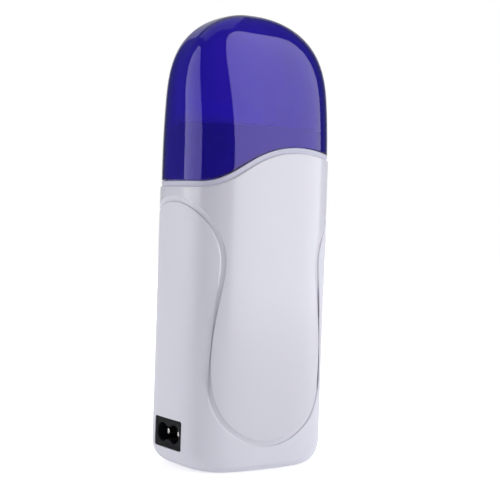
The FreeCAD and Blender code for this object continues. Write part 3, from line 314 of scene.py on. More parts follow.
def block(name, low, high, corner, axis, segments=8):
    """A bar with four rounded corners, run along an axis, to be cut away or finished further."""
    deselect_all()
    middle, size = (Vector(low) + Vector(high)) / 2, Vector(high) - Vector(low)
    bpy.ops.mesh.primitive_cube_add(size=1, location=middle)
    piece = named(bpy.context.object, name)
    piece.scale = size
    bpy.ops.object.transform_apply(location=True, rotation=False, scale=True)
    bpy.ops.object.mode_set(mode="EDIT")
    bpy.ops.mesh.select_all(action="DESELECT")
    mesh = bmesh.from_edit_mesh(piece.data)
    for edge in mesh.edges:
        run = edge.verts[1].co - edge.verts[0].co
        edge.select = abs(run[axis]) > 0.99 * run.length
    mesh.select_flush(True)
    bmesh.update_edit_mesh(piece.data)
    bpy.ops.mesh.bevel(offset=corner, segments=segments, affect="EDGES")
    leave_edit()
    return piece


def rounded_copy(node, name, width, segments=3, angle=35):
    """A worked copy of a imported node: its triangles are merged to faces and its sharp edges rounded."""
    deselect_all()
    piece = NODES[node].copy()
    piece.data = NODES[node].data.copy()
    piece.parent = None
    for key in list(piece.keys()):
        del piece[key]
    bpy.context.scene.collection.objects.link(piece)
    named(piece, name)
    piece.data.materials.clear()
    take(piece)
    bpy.ops.object.mode_set(mode="EDIT")
    bpy.ops.mesh.customdata_custom_splitnormals_clear()
    bpy.ops.mesh.select_all(action="SELECT")
    bpy.ops.mesh.remove_doubles(threshold=0.002 * MM)
    bpy.ops.mesh.dissolve_limited(angle_limit=math.radians(1.0))
    leave_edit()
    soften = piece.modifiers.new("soften", "BEVEL")
    soften.width, soften.segments = width, segments
    soften.limit_method, soften.angle_limit = "ANGLE", math.radians(angle)
    soften.use_clamp_overlap = True
    soften.harden_normals = False
    bpy.ops.object.modifier_apply(modifier=soften.name)
    return smooth(piece, angle)


# ---------------------------------------------------------------- shared finishes

def new_group(name, inputs, outputs):
    """An empty shader group with its sockets; inputs are (name, kind, start value)."""
    tree = bpy.data.node_groups.new(name, "ShaderNodeTree")
    for label, kind, start in inputs:
        socket = tree.interface.new_socket(label, in_out="INPUT", socket_type=kind)
        if start is not None:
            socket.default_value = start
    for label, kind in outputs:
        tree.interface.new_socket(label, in_out="OUTPUT", socket_type=kind)
    return tree, tree.nodes.new("NodeGroupInput").outputs, tree.nodes.new("NodeGroupOutput").inputs


def put(tree, kind, settings=None, **links):
    """Adds a node; a link is a value or another node's output, by the input's name or number."""
    node = tree.nodes.new(kind)
    for name, value in (settings or {}).items():
        setattr(node, name, value)
    for name, value in links.items():
        numbered = name[0] == "n" and name[1:].isdigit()
        socket = node.inputs[int(name[1:]) if numbered else name.replace("_", " ")]
        if isinstance(value, bpy.types.NodeSocket):
            tree.links.new(value, socket)
        else:
            socket.default_value = value
    return node


FLOAT, COLOR, VECTOR = "NodeSocketFloat", "NodeSocketColor", "NodeSocketVector"


def grain_group():
    """Fine moulded or cast skin: two sizes of noise as one height."""
    tree, given, out = new_group(
        "skin grain",
        [("Grain", FLOAT, 900.0), ("Ripple", FLOAT, 40.0), ("Ripple Share", FLOAT, 0.3)],
        [("Height", FLOAT)],
    )
    place = put(tree, "ShaderNodeTexCoord").outputs["Object"]
    fine = put(tree, "ShaderNodeTexNoise", Vector=place, Scale=given["Grain"], Detail=3.0)
    broad = put(tree, "ShaderNodeTexNoise", Vector=place, Scale=given["Ripple"], Detail=1.0)
    mixed = put(
        tree, "ShaderNodeMix", {"data_type": "FLOAT"},
        n0=given["Ripple Share"], n2=fine.outputs["Fac"], n3=broad.outputs["Fac"],
    )
    tree.links.new(mixed.outputs[0], out["Height"])
    return tree


def tint_group():
    """A colour that drifts a little over the surface, as pigment does in a moulding."""
    tree, given, out = new_group(
        "tint drift",
        [("Color", COLOR, None), ("Other", COLOR, None), ("Drift", FLOAT, 0.5), ("Size", FLOAT, 25.0)],
        [("Color", COLOR)],
    )
    place = put(tree, "ShaderNodeTexCoord").outputs["Object"]
    cloud = put(tree, "ShaderNodeTexNoise", Vector=place, Scale=given["Size"], Detail=4.0, Roughness=0.6)
    amount = put(
        tree, "ShaderNodeMapRange",
        Value=cloud.outputs["Fac"], n1=0.35, n2=0.68, n3=0.0, n4=given["Drift"],
    )
    blend = put(
        tree, "ShaderNodeMix", {"data_type": "RGBA"},
        n0=amount.outputs["Result"], n6=given["Color"], n7=given["Other"],
    )
    tree.links.new(blend.outputs[2], out["Color"])
    return tree


def handled_group():
    """Roughness that varies as a handled surface does: soft smears with finer marks in them."""
    tree, given, out = new_group(
        "handled sheen",
        [("Low", FLOAT, 0.2), ("High", FLOAT, 0.3), ("Size", FLOAT, 30.0)],
        [("Roughness", FLOAT)],
    )
    place = put(tree, "ShaderNodeTexCoord").outputs["Object"]
    smear = put(
        tree, "ShaderNodeTexNoise",
        Vector=place, Scale=given["Size"], Detail=5.0, Roughness=0.55, Distortion=0.6,
    )
    level = put(
        tree, "ShaderNodeMapRange",
        Value=smear.outputs["Fac"], n1=0.3, n2=0.7, n3=given["Low"], n4=given["High"],
    )
    tree.links.new(level.outputs["Result"], out["Roughness"])
    return tree


def brushed_group():
    """Rolled or drawn metal: fine lines stretched along one direction, as tone, roughness and height."""
    tree, given, out = new_group(
        "drawn lines",
        [("Color", COLOR, None), ("Dark", COLOR, None), ("Stretch", VECTOR, (4000.0, 60.0, 4000.0)),
         ("Low", FLOAT, 0.25), ("High", FLOAT, 0.45)],
        [("Color", COLOR), ("Roughness", FLOAT), ("Height", FLOAT)],
    )
    place = put(tree, "ShaderNodeTexCoord").outputs["Object"]
    along = put(tree, "ShaderNodeVectorMath", {"operation": "MULTIPLY"}, n0=place, n1=given["Stretch"])
    lines = put(tree, "ShaderNodeTexNoise", Vector=along.outputs[0], Scale=1.0, Detail=3.0)
    patch = put(tree, "ShaderNodeTexNoise", Vector=place, Scale=90.0, Detail=3.0)
    tone = put(
        tree, "ShaderNodeMix", {"data_type": "RGBA"},
        n0=patch.outputs["Fac"], n6=given["Color"], n7=given["Dark"],
    )
    rough = put(
        tree, "ShaderNodeMapRange",
        Value=lines.outputs["Fac"], n1=0.3, n2=0.7, n3=given["Low"], n4=given["High"],
    )
    tree.links.new(tone.outputs[2], out["Color"])
    tree.links.new(rough.outputs["Result"], out["Roughness"])
    tree.links.new(lines.outputs["Fac"], out["Height"])
    return tree


def felt_group():
    """Pressed fibre: short crossed hairs over a soft mottle."""
    tree, given, out = new_group(
        "pressed fibre",
        [("Color", COLOR, None), ("Dark", COLOR, None), ("Hair", FLOAT, 1400.0)],
        [("Color", COLOR), ("Height", FLOAT)],
    )
    place = put(tree, "ShaderNodeTexCoord").outputs["Object"]
    hairs = put(tree, "ShaderNodeTexNoise", Vector=place, Scale=given["Hair"], Detail=4.0, Distortion=2.5)
    mottle = put(tree, "ShaderNodeTexVoronoi", Vector=place, Scale=350.0)
    both = put(
        tree, "ShaderNodeMath", {"operation": "MULTIPLY"},
        n0=hairs.outputs["Fac"], n1=mottle.outputs["Distance"],
    )
    tone = put(
        tree, "ShaderNodeMix", {"data_type": "RGBA"},
        n0=hairs.outputs["Fac"], n6=given["Dark"], n7=given["Color"],
    )
    tree.links.new(tone.outputs[2], out["Color"])
    tree.links.new(both.outputs[0], out["Height"])
    return tree


GRAIN, TINT, HANDLED = grain_group(), tint_group(), handled_group()
BRUSHED, FELT = brushed_group(), felt_group()


def fresh(name):
    """A new material with its node tree and its shader."""
    material = bpy.data.materials.new(name)
    material.use_nodes = True
    tree = material.node_tree
    shader = next(node for node in tree.nodes if node.type == "BSDF_PRINCIPLED")
    return material, tree, shader


def settle(shader, settings):
    for name, value in settings.items():
        shader.inputs[name].default_value = value


def bumped(tree, shader, height, depth, strength):
    """Leads a height to the shader's normal, at its real depth in metres."""
    bump = put(tree, "ShaderNodeBump", Height=height, Distance=depth, Strength=strength)
    tree.links.new(bump.outputs["Normal"], shader.inputs["Normal"])


def moulded(name, color, other, drift=0.5, sheen=(0.2, 0.3), grain=900.0, ripple=40.0, share=0.3,
            depth=0.00003, strength=0.2, size=25.0, smear=30.0, **settings):
    """A moulded, cast or pressed finish with drifting tint, handled sheen and a fine skin."""
    material, tree, shader = fresh(name)
    tint = put(tree, "ShaderNodeGroup", {"node_tree": TINT}, Color=color, Other=other, Drift=drift, Size=size)
    rough = put(tree, "ShaderNodeGroup", {"node_tree": HANDLED}, Low=sheen[0], High=sheen[1], Size=smear)
    skin = put(tree, "ShaderNodeGroup", {"node_tree": GRAIN}, Grain=grain, Ripple=ripple, Ripple_Share=share)
    tree.links.new(tint.outputs["Color"], shader.inputs["Base Color"])
    tree.links.new(rough.outputs["Roughness"], shader.inputs["Roughness"])
    bumped(tree, shader, skin.outputs["Height"], depth, strength)
    settle(shader, {key.replace("_", " "): value for key, value in settings.items()})
    return material


def drawn(name, color, dark, stretch, sheen=(0.25, 0.45), depth=0.00002, strength=0.3):
    """Bare metal with the lines of its rolling or drawing."""
    material, tree, shader = fresh(name)
    lines = put(
        tree, "ShaderNodeGroup", {"node_tree": BRUSHED},
        Color=color, Dark=dark, Stretch=stretch, Low=sheen[0], High=sheen[1],
    )
    tree.links.new(lines.outputs["Color"], shader.inputs["Base Color"])
    tree.links.new(lines.outputs["Roughness"], shader.inputs["Roughness"])
    bumped(tree, shader, lines.outputs["Height"], depth, strength)
    settle(shader, {"Metallic": 1.0})
    return material


def felted(name, color, dark):
    """Pressed fibre with its crossed hairs."""
    material, tree, shader = fresh(name)
    fibre = put(tree, "ShaderNodeGroup", {"node_tree": FELT}, Color=color, Dark=dark)
    tree.links.new(fibre.outputs["Color"], shader.inputs["Base Color"])
    bumped(tree, shader, fibre.outputs["Height"], depth=0.0002, strength=0.7)
    settle(shader, {"Roughness": 0.92, "Sheen Weight": 0.2})
    return material


def rgb(red, green, blue):
    return red, green, blue, 1.0


def soak(material, color, density):
    """Gives a clear moulding a body colour that deepens with the way through it."""
    tree = material.node_tree
    dye = put(tree, "ShaderNodeVolumeAbsorption", Color=color, Density=density)
    tree.links.new(dye.outputs["Volume"], tree.nodes["Material Output"].inputs["Volume"])


GLOSS_WHITE = moulded(
    "glossy white moulding", rgb(0.595, 0.593, 0.672), rgb(0.577, 0.577, 0.658), sheen=(0.17, 0.23),
    grain=1600.0, ripple=55.0, share=0.6, depth=0.00002, strength=0.06,
    Subsurface_Weight=0.05, Subsurface_Scale=0.002, Coat_Weight=0.25, Coat_Roughness=0.12,
)
SATIN_WHITE = moulded(
    "satin white moulding", rgb(0.635, 0.635, 0.72), rgb(0.615, 0.615, 0.705), sheen=(0.36, 0.44),
    grain=2600.0, ripple=60.0, share=0.15, strength=0.22,
    Subsurface_Weight=0.05, Subsurface_Scale=0.002,
)
# the neck's white is partly painted light: set brighter than the shell's, for the light that reaches it
# through the clear cap
NECK_WHITE_PAINTED_LIGHT = moulded(
    "white neck moulding", rgb(0.82, 0.82, 0.87), rgb(0.79, 0.79, 0.85), sheen=(0.22, 0.3), strength=0.1,
    Subsurface_Weight=0.05, Subsurface_Scale=0.002,
)
# the reveal band's colour is painted shade: darker and bluer than the shell, for the shade and violet light
# under the cap's edge
BAND_PAINTED_SHADE = moulded(
    "shaded reveal band", rgb(0.50, 0.50, 0.62), rgb(0.48, 0.48, 0.60), sheen=(0.3, 0.38),
    grain=2000.0, depth=0.00002, strength=0.08,
)
VIOLET = moulded(
    "clear violet moulding", rgb(0.96, 0.95, 1.0), rgb(0.93, 0.92, 0.99), sheen=(0.02, 0.045),
    grain=1500.0, ripple=30.0, share=0.97, depth=0.00002, strength=0.015,
    IOR=1.55, Transmission_Weight=1.0, Specular_Tint=rgb(0.78, 0.66, 1.0),
)
soak(VIOLET, rgb(0.232, 0.0, 0.785), 1500.0)
BLACK = moulded(
    "black moulding", rgb(0.006, 0.0065, 0.009), rgb(0.009, 0.010, 0.013), sheen=(0.42, 0.52),
    grain=2800.0, depth=0.00004, strength=0.3, Specular_IOR_Level=0.08,
)
PIN_METAL = drawn(
    "plated pins", rgb(0.78, 0.77, 0.74), rgb(0.6, 0.58, 0.54), (60.0, 5000.0, 5000.0), sheen=(0.16, 0.3),
)
BRASS = drawn("terminal brass", rgb(0.80, 0.58, 0.26), rgb(0.62, 0.42, 0.17), (60.0, 4000.0, 4000.0))
ALUMINIUM = drawn("pressed aluminium", rgb(0.78, 0.78, 0.79), rgb(0.62, 0.62, 0.64), (3500.0, 3500.0, 90.0))
SPRING = drawn("spring steel", rgb(0.55, 0.56, 0.58), rgb(0.42, 0.42, 0.45), (70.0, 3500.0, 3500.0))
SCREW = drawn("zinc screws", rgb(0.62, 0.63, 0.64), rgb(0.45, 0.46, 0.48), (3000.0, 3000.0, 900.0))
FIBRE = felted("pressed fibre jacket", rgb(0.74, 0.71, 0.62), rgb(0.55, 0.52, 0.43))
CERAMIC = moulded(
    "heater ceramic", rgb(0.78, 0.76, 0.70), rgb(0.68, 0.65, 0.58), sheen=(0.55, 0.75),
    grain=1800.0, strength=0.5,
)
MICA = moulded(
    "mica sheet", rgb(0.60, 0.52, 0.36), rgb(0.42, 0.35, 0.22), drift=0.9, size=160.0,
    sheen=(0.15, 0.4), grain=700.0, strength=0.4, Coat_Weight=0.3,
)
CLEAR = moulded(
    "clear window moulding", rgb(0.93, 0.95, 0.96), rgb(0.90, 0.93, 0.95), sheen=(0.03, 0.07),
    grain=1200.0, ripple=70.0, share=0.8, strength=0.05, IOR=1.49, Transmission_Weight=0.94,
)
RED_LENS = moulded(
    "red lens moulding", rgb(0.75, 0.03, 0.02), rgb(0.6, 0.02, 0.02), sheen=(0.05, 0.1),
    grain=1500.0, strength=0.06, IOR=1.49, Transmission_Weight=0.7,
)
BOARD = moulded(
    "circuit board", rgb(0.03, 0.20, 0.08), rgb(0.05, 0.26, 0.11), size=220.0,
    sheen=(0.25, 0.4), grain=1500.0, strength=0.3, Coat_Weight=0.3,
)
RESISTOR = moulded(
    "resistor lacquer", rgb(0.62, 0.47, 0.27), rgb(0.52, 0.38, 0.20), size=400.0,
    sheen=(0.3, 0.45), strength=0.2,
)
BROWN_LEAD, BLUE_LEAD, WHITE_LEAD = (
    moulded(name, color, other, size=200.0, sheen=(0.4, 0.55), strength=0.3)
    for name, color, other in (
        ("brown lead sleeve", rgb(0.11, 0.045, 0.02), rgb(0.14, 0.06, 0.03)),
        ("blue lead sleeve", rgb(0.02, 0.07, 0.33), rgb(0.03, 0.09, 0.38)),
        ("white lead sleeve", rgb(0.72, 0.72, 0.70), rgb(0.64, 0.64, 0.62)),
    )
)


def dress(piece, *materials):
    piece.data.materials.clear()
    for material in materials:
        piece.data.materials.append(material)
    return piece


def fit(piece, body, slot, *nodes):
    """Hangs a finished piece on its body and hides what it stands for."""
    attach(piece, body)
    if nodes:
        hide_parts(*nodes)
    return piece


# ---------------------------------------------------------------- the body's shell

# share along the groove's quarter against share of the quarter, at the foot and at the rim
FOOT_FAN = [(0.0, 0.0), (0.14, 0.19), (0.28, 0.33), (0.5, 0.44), (0.66, 0.53), (0.8, 0.74), (1.0, 1.0)]
RIM_FAN = [
    (0.0, 0.0), (0.1, 0.26), (0.18, 0.47), (0.28, 0.66), (0.5, 0.82), (0.66, 0.9), (0.8, 0.945), (1.0, 1.0),
]

# the rounded edge at the shell's foot: (rise in mm, inset in mm), and how far above it the side panel starts
FOOT_EDGE = ((0.0, 0.3), (0.01, 0.12), (0.05, 0.03))
PANEL_RISE = 0.14 * MM

# the groove from the side panel's lip to the tongue's: (offset in mm, depth in mm)
GROOVE_SHAPE = (
    (-1.45, 0.0), (-1.3, 0.015), (-1.2, 0.07), (-1.13, 0.18), (-1.07, 0.36), (-1.0, 0.5), (-0.86, 0.585),
    (-0.6, 0.6), (-0.1, 0.56), (0.45, 0.47), (0.85, 0.38), (1.02, 0.31), (1.12, 0.2), (1.22, 0.09),
    (1.34, 0.02), (1.5, 0.0),
)
# the rim, from the body's edge up over the reveal band and in: (mm below the cap's edge, inset in mm)
RIM_SHAPE = (
    (3.12, 0.0), (2.9, 0.015), (2.76, 0.05), (2.65, 0.13), (2.57, 0.25), (2.5, 0.4), (2.42, 0.54),
    (2.28, 0.62), (2.0, 0.61), (1.6, 0.52), (1.2, 0.43), (0.95, 0.4), (0.5, 0.4), (0.4, 0.43),
    (0.33, 0.5), (0.3, 0.62), (0.3, 2.1), (0.33, 2.28), (0.42, 2.37), (0.6, 2.4), (2.4, 2.4),
)
# rings of the groove that still belong to the side panel's lip, and of the rim before the band with painted
# shade
LIP_RINGS, BAND_RING = 3, 5

# rings below the groove, between groove and rim, and inside; the lower ones crowd towards the foot
LOWER_RINGS, UPPER_RINGS, INNER_RINGS = 58, 50, 10
LOWER_CROWDING = 1.55
# points in a ring
BODY_COUNT = 512

# cut through the shell, in mm: cutter, low and high corner, corner radius, axis, steps round a corner
OPENINGS = (
    ("inlet_cutter", (-40, -10.2, 8.0), (-30, 10.2, 20.4), 1.0, 0, 8),
    ("window_cutter", (-4.65, 18, 48.85), (4.65, 25, 93.15), 4.6499, 1, 16),
    ("lens_cutter", (-2.6, 18, 27.4), (2.6, 25, 32.6), 2.5999, 1, 12),
)


def signed(around, way, level, inset, top=HEIGHT):
    """A point of the outer form in the quarter that the share of a turn lies in."""
    across, through, _ = quarters(around)
    x, y, z = on_form(way, level, inset, top)
    return across * x, through * y, z


def toward(one, other, share):
    return tuple(a + (b - a) * share for a, b in zip(one, other))


def foot_place(share):
    """Where the shell's foot lies, at a share along the groove's quarter."""
    return QUARTER_LENGTH * between(FOOT_FAN, share), BASE_PLATE


def rim_level(around, way, below, inset):
    """The level at a distance below the cap's wavy edge."""
    across = quarters(around)[0]
    x = across * (HALF_WIDTH - inset) * unit_ring(between(QUARTER, min(way, QUARTER_LENGTH)))[0]
    return rim(x, below)


def body_rings():
    """The shell's rings: up the outside from the foot, over the rim, down the inside to the foot."""
    places = []

    def foot_edge(rise, inset):
        def place(around):
            way, level = foot_place(quarters(around)[2])
            return signed(around, way, level + rise * MM, inset * MM)
        places.append(place)

    def lower(number):
        def place(around):
            share = quarters(around)[2]
            start = foot_place(share)
            way, level = toward(
                (start[0], start[1] + PANEL_RISE), groove_point(share, GROOVE_SHAPE[0][0] * MM),
                (number / LOWER_RINGS) ** LOWER_CROWDING,
            )
            return signed(around, way, level, 0.0)
        places.append(place)

    def groove(offset, depth):
        def place(around):
            return signed(around, *groove_point(quarters(around)[2], offset * MM), depth * MM)
        places.append(place)

    def upper(number):
        def place(around):
            share = quarters(around)[2]
            way = QUARTER_LENGTH * between(RIM_FAN, share)
            end = (way, rim_level(around, way, RIM_SHAPE[0][0] * MM, 0.0))
            at = toward(groove_point(share, GROOVE_SHAPE[-1][0] * MM), end, number / UPPER_RINGS)
            return signed(around, *at, 0.0)
        places.append(place)

    def over_rim(below, inset):
        def place(around):
            way = QUARTER_LENGTH * between(RIM_FAN, quarters(around)[2])
            return signed(around, way, rim_level(around, way, below * MM, inset * MM), inset * MM)
        places.append(place)

    def inner(number):
        def place(around):
            share = quarters(around)[2]
            high = QUARTER_LENGTH * between(RIM_FAN, share)
            start = (high, rim_level(around, high, RIM_SHAPE[-1][0] * MM, WALL))
            way, level = toward(start, foot_place(share), number / INNER_RINGS)
            return signed(around, way, level, WALL)
        places.append(place)

    for rise, inset in FOOT_EDGE:
        foot_edge(rise, inset)
    for number in range(LOWER_RINGS):
        lower(number)
    groove_start = len(places)
    for offset, depth in GROOVE_SHAPE:
        groove(offset, depth)
    for number in range(1, UPPER_RINGS):
        upper(number)
    band_start = len(places) + BAND_RING
    for below, inset in RIM_SHAPE:
        over_rim(below, inset)
    inside_start = len(places)
    for number in range(1, INNER_RINGS + 1):
        inner(number)
    foot_edge(*FOOT_EDGE[0])
    return places, groove_start, band_start, inside_start


def make_body():
    """The shell: satin side panels below the groove, a glossy tongue and shoulder, and a reveal band painted
    darker and bluer as shade under the cap.
    """
    places, groove_start, band_start, inside_start = body_rings()
    body = ringed("body_shell", BODY_COUNT, places, closed=True)
    dress(body, GLOSS_WHITE, SATIN_WHITE, BAND_PAINTED_SHADE)
    ring = body.data.attributes["ring"].data
    for face in body.data.polygons:
        lowest = min(ring[vertex].value for vertex in face.vertices)
        if lowest < groove_start + LIP_RINGS:
            face.material_index = 1
        elif band_start <= lowest < inside_start:
            # the reveal band takes the white with painted shade
            face.material_index = 2
    for name, low, high, corner, axis, steps in OPENINGS:
        carve(body, block(name, in_metres(low), in_metres(high), corner * MM, axis, steps))
    smooth(body, 38)
    return fit(body, "heater", "white_shell", "outer_housing")


# ---------------------------------------------------------------- the lift-off cap

# the cap's lower edge, from outside to inside: (mm above the wavy edge, inset in mm)
CAP_EDGE = ((0.2, 0.41), (0.1, 0.44), (0.03, 0.5), (0.0, 0.6), (0.0, 1.95), (0.04, 2.08), (0.14, 2.17))
# how far above the wavy edge the cap's two walls start
CAP_WALL_START = 0.5 * MM
CAP_RINGS, CAP_COUNT = 46, 256
# how far up the last ring goes before it is merged into the pole
CAP_CLIMB = 0.9985


def make_cap():
    """Outer dome from its pole down to the wavy edge, round that edge, and up the hollow inside."""
    places = []

    def shell(number, inset, top):
        def place(around):
            way = QUARTER_LENGTH * quarters(around)[2]
            start = rim_level(around, way, -CAP_WALL_START, inset)
            climb = math.sin(math.pi / 2 * min(number / CAP_RINGS, CAP_CLIMB))
            return signed(around, way, start + (top - start) * climb, inset, top)
        places.append(place)

    def edge(rise, inset):
        def place(around):
            way = QUARTER_LENGTH * quarters(around)[2]
            return signed(around, way, rim_level(around, way, -rise * MM, inset * MM), inset * MM)
        places.append(place)

    for number in range(CAP_RINGS, -1, -1):
        shell(number, BAND_INSET, HEIGHT)
    for rise, inset in CAP_EDGE:
        edge(rise, inset)
    for number in range(CAP_RINGS + 1):
        shell(number, BAND_INSET + CAP_WALL, HEIGHT - CAP_WALL)
    cap = ringed("cap_shell", CAP_COUNT, places, first_pole=True, last_pole=True)
    dress(smooth(cap, 40), VIOLET)
    return fit(cap, "cap", "violet_cap", "cap")


# ---------------------------------------------------------------- the neck with its deck and chamber

# the skirt up to the deck's edge, and back down inside it: (level in mm, inset in mm)
SKIRT_OUTSIDE = (
    (108.8, 3.2), (108.8, 2.75), (108.95, 2.6), (114, 2.6), (120, 2.6), (126, 2.6), (130, 2.6),
    (134, 2.6), (138, 2.6), (141.4, 2.6), (141.68, 2.64), (141.88, 2.76), (141.98, 2.96), (142, 3.3),
)
SKIRT_INSIDE = (
    (140, 4.5), (139.5, 4.0), (134, 4.0), (126, 4.0), (118, 4.0), (109.1, 4.0), (108.8, 3.7), (108.8, 3.2),
)
# the chamber's liner from its mouth down inside and up outside: (level in mm, growth past the hollow in mm)
LINER = (
    (142, 0.9), (141.93, 0.5), (141.7, 0.18), (141.3, 0.02), (140.8, 0), (125, 0), (110, 0), (97.5, 0),
    (97.2, 0.2), (97.2, 1.2), (97.5, 1.4), (110, 1.4), (125, 1.4), (139.4, 1.4), (140, 2.0),
)
# the chamber's hollow in mm: half length, half width, corner radius
CHAMBER = (26, 15.5, 8)
NECK_COUNT = 192


def rounded_rectangle(share, across, through, half_length, half_width, corner, level):
    """A point of a rounded rectangle, at a share of the way from its end's middle to its side's."""
    straight_end, straight_side = half_width - corner, half_length - corner
    arc = corner * math.pi / 2
    way = share * (straight_end + arc + straight_side)
    if way < straight_end:
        x, y = half_length, way
    elif way < straight_end + arc:
        turn = (way - straight_end) / corner
        x, y = straight_side + corner * math.cos(turn), straight_end + corner * math.sin(turn)
    else:
        x, y = straight_side - (way - straight_end - arc), half_width
    return across * x, through * y, level


def make_neck():
    """Skirt up to the deck's rounded edge, in to the chamber's mouth, down the liner and back outside it."""
    top = HEIGHT - CAP_WALL - NECK_CLEARANCE
    places = []

    def skirt(level, inset):
        places.append(lambda around: signed(
            around, QUARTER_LENGTH * quarters(around)[2], level * MM, inset * MM, top,
        ))

    def liner(level, grow):
        def place(around):
            across, through, share = quarters(around)
            reaches = in_metres(size + grow for size in CHAMBER)
            return rounded_rectangle(share, across, through, *reaches, level * MM)
        places.append(place)

    for level, inset in SKIRT_OUTSIDE:
        skirt(level, inset)
    for level, grow in LINER:
        liner(level, grow)
    for level, inset in SKIRT_INSIDE:
        skirt(level, inset)
    neck = ringed("neck_and_chamber", NECK_COUNT, places, closed=True)
    dress(smooth(neck, 40), NECK_WHITE_PAINTED_LIGHT)
    return fit(neck, "heater", "white_neck", "chamber_sleeve")


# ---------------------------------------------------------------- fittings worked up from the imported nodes

FITTINGS = (
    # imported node, piece, edge radius in mm, material, body, slot
    ("inlet_housing", "inlet_block", 0.22, BLACK, "heater", "black_plastic"),
    ("inlet_pins", "contact_pins", 0.25, PIN_METAL, "heater", "pin_metal"),
    ("base_cover", "base_plate", 0.25, SATIN_WHITE, "heater", "white_shell"),
    ("base_screws", "base_screw_set", 0.15, SCREW, "heater", "screw_steel"),
    ("heating_cup", "wax_cup", 0.2, ALUMINIUM, "heater", "cup_aluminium"),
    ("viewing_window", "level_window", 0.2, CLEAR, "heater", "clear_plastic"),
    ("pilot_lens", "lamp_lens", 0.25, RED_LENS, "heater", "red_lens"),
)

# nodes that stay as they are packed, each with its finish
KEPT = {
    "insulation_jacket": FIBRE, "sleeve_screws": SCREW, "ptc_heater": CERAMIC, "mica_sheet": MICA,
    "heater_clamp": SPRING, "clamp_screws": SCREW, "thermostat": BLACK, "thermal_fuse": CERAMIC,
    "inlet_terminals": BRASS, "lamp_board": BOARD, "pilot_lamp": CLEAR, "lamp_resistor": RESISTOR,
    "live_wire": BROWN_LEAD, "neutral_wire": BLUE_LEAD, "fuse_link": WHITE_LEAD,
    "thermostat_link": WHITE_LEAD, "lamp_wires": WHITE_LEAD,
}


def make_fittings():
    for node, name, radius, material, body, slot in FITTINGS:
        fit(dress(rounded_copy(node, name, radius * MM), material), body, slot, node)
    for node, material in KEPT.items():
        dress(NODES[node], material)


# ---------------------------------------------------------------- floor, light and camera

def facing(azimuth, distance, level):
    """A place round the heater: azimuth 0 is before its front face, 90 beyond the inlet side."""
    turn = math.radians(azimuth)
    return Vector((-math.sin(turn) * distance, -math.cos(turn) * distance, level))


def panel(name, place, aim, width, height, radiance, mirrored=True, oval=False, through=True):
    """A soft panel; its power is what makes its face shine with a radiance."""
    light = bpy.data.lights.new(name, "AREA")
    light.shape, light.size, light.size_y = "ELLIPSE" if oval else "RECTANGLE", width, height
    light.energy = math.pi * width * height * radiance * (math.pi / 4 if oval else 1)
    lamp = bpy.data.objects.new(name, light)
    bpy.context.scene.collection.objects.link(lamp)
    lamp.location = place
    lamp.rotation_euler = (Vector(aim) - Vector(place)).to_track_quat("-Z", "Y").to_euler()
    lamp.visible_camera = False
    lamp.visible_transmission = through
    lamp.visible_glossy = mirrored
    return lamp


FLOOR_RADIUS = 2.5
# the floor's own glow at the heater's foot and away from it, and the distances between which it rises
FLOOR_GLOW, FLOOR_WHITE = 0.3, 1.2
GLOW_START, GLOW_END = 0.01, 0.11


def ray_masks(tree):
    """One where the camera looks directly or through the clear cap, and one where it sees a reflection."""
    path = put(tree, "ShaderNodeLightPath")
    seen = put(
        tree, "ShaderNodeMath", {"operation": "MAXIMUM"},
        n0=path.outputs["Is Camera Ray"], n1=path.outputs["Is Transmission Ray"],
    )
    return seen.outputs[0], path.outputs["Is Glossy Ray"]


def make_floor():
    deselect_all()
    bpy.ops.mesh.primitive_circle_add(vertices=96, radius=FLOOR_RADIUS, fill_type="NGON")
    floor = named(bpy.context.object, "studio_floor")
    material, tree, shader = fresh("pale floor")
    tint = put(
        tree, "ShaderNodeGroup", {"node_tree": TINT},
        Color=rgb(0.82, 0.82, 0.82), Other=rgb(0.80, 0.80, 0.80), Drift=0.4, Size=3.0,
    )
    tree.links.new(tint.outputs["Color"], shader.inputs["Base Color"])
    settle(shader, {"Roughness": 0.8, "Specular IOR Level": 0.1, "Emission Color": rgb(1, 1, 1)})
    place = put(tree, "ShaderNodeTexCoord").outputs["Object"]
    away = put(tree, "ShaderNodeVectorMath", {"operation": "LENGTH"}, n0=place)
    lit = put(
        tree, "ShaderNodeMapRange",
        Value=away.outputs["Value"], n1=GLOW_START, n2=GLOW_END, n3=FLOOR_GLOW, n4=FLOOR_WHITE,
    )
    glow = put(
        tree, "ShaderNodeMix", {"data_type": "FLOAT"},
        n0=ray_masks(tree)[0], n2=FLOOR_GLOW, n3=lit.outputs["Result"],
    )
    tree.links.new(glow.outputs[0], shader.inputs["Emission Strength"])
    dress(floor, material)


# the strength of the open studio for surfaces, for reflections and for the eye
ROOM_FILL, ROOM_GLOSS, ROOM_SEEN = 0.08, 0.17, 1.0


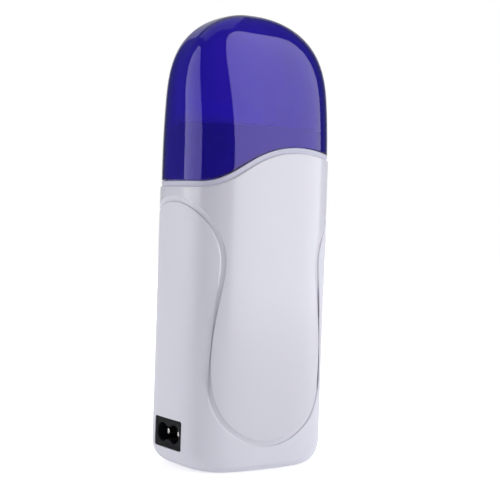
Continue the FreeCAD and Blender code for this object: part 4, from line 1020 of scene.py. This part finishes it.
def make_light():
    """The soft panels: name, place, aim, width, height and radiance."""
    panel("right_softbox", facing(-42.6, 0.75, 0.3), facing(137.4, 0.1, 0.3), 0.86, 2.3, 2.5, oval=True)
    panel("left_softbox", facing(110.5, 0.75, 0.2), facing(-69.5, 0.1, 0.2), 0.88, 1.6, 1.8, oval=True)
    panel("top_panel", (0.05, 0.3, 1.2), (0, 0.1, 0.1), 1.1, 1.0, 0.4)
    panel("back_panel", facing(215, 1.2, 0.5), (0, 0, 0.15), 1.7, 1.4, 0.45, through=False)
    panel("front_fill", facing(-25, 1.0, 0.2), (0, 0, 0.06), 1.5, 0.9, 0.12, mirrored=False)
    panel("side_fill", facing(-115, 0.9, 0.2), (0, 0, 0.1), 0.9, 0.8, 0.6, mirrored=False, through=False)
    panel("rear_fill", facing(185, 1.0, 0.35), (0, 0, 0.1), 1.2, 1.0, 0.9, mirrored=False, through=False)
    panel("low_fill", facing(25, 0.8, 0.06), (0, 0, 0.04), 0.9, 0.3, 0.4, mirrored=False)
    panel("top_fill", (0, 0.15, 1.1), (0, 0, 0.1), 0.9, 0.9, 0.5, mirrored=False)


def make_room():
    """The white room round the heater, weaker on surfaces and in reflections than to the eye."""
    world = bpy.data.worlds.new("white studio")
    bpy.context.scene.world = world
    world.use_nodes = True
    tree = world.node_tree
    back = next(node for node in tree.nodes if node.type == "BACKGROUND")
    seen, glossy = ray_masks(tree)
    room = put(tree, "ShaderNodeMix", {"data_type": "FLOAT"}, n0=glossy, n2=ROOM_FILL, n3=ROOM_GLOSS)
    level = put(tree, "ShaderNodeMix", {"data_type": "FLOAT"}, n0=seen, n2=room.outputs[0], n3=ROOM_SEEN)
    tree.links.new(level.outputs[0], back.inputs["Strength"])
    back.inputs["Color"].default_value = (1, 1, 1, 1)


# the camera's focal length and film width in mm, the shift of its frame, its place, and its turns in degrees
CAMERA_LENS, CAMERA_FILM = 88.04, 36
CAMERA_SHIFT = (0.0132, -0.0216)
CAMERA_PLACE = (-0.29946, -0.42875, 0.10606)
CAMERA_TURNS = (88.774, -1.935, -34.914)


def make_camera():
    lens = bpy.data.cameras.new("studio_camera")
    lens.lens, lens.sensor_width = CAMERA_LENS, CAMERA_FILM
    lens.shift_x, lens.shift_y = CAMERA_SHIFT
    lens.clip_start, lens.clip_end = 0.05, 20
    camera = bpy.data.objects.new("studio_camera", lens)
    bpy.context.scene.collection.objects.link(camera)
    camera.location = CAMERA_PLACE
    camera.rotation_euler = [math.radians(turn) for turn in CAMERA_TURNS]
    bpy.context.scene.camera = camera


def make_studio():
    make_floor()
    make_light()
    make_room()
    make_camera()
    view = bpy.context.scene.view_settings
    view.view_transform, view.look = "Standard", "None"


make_body()
make_cap()
make_neck()
make_fittings()
make_studio()
deselect_all()
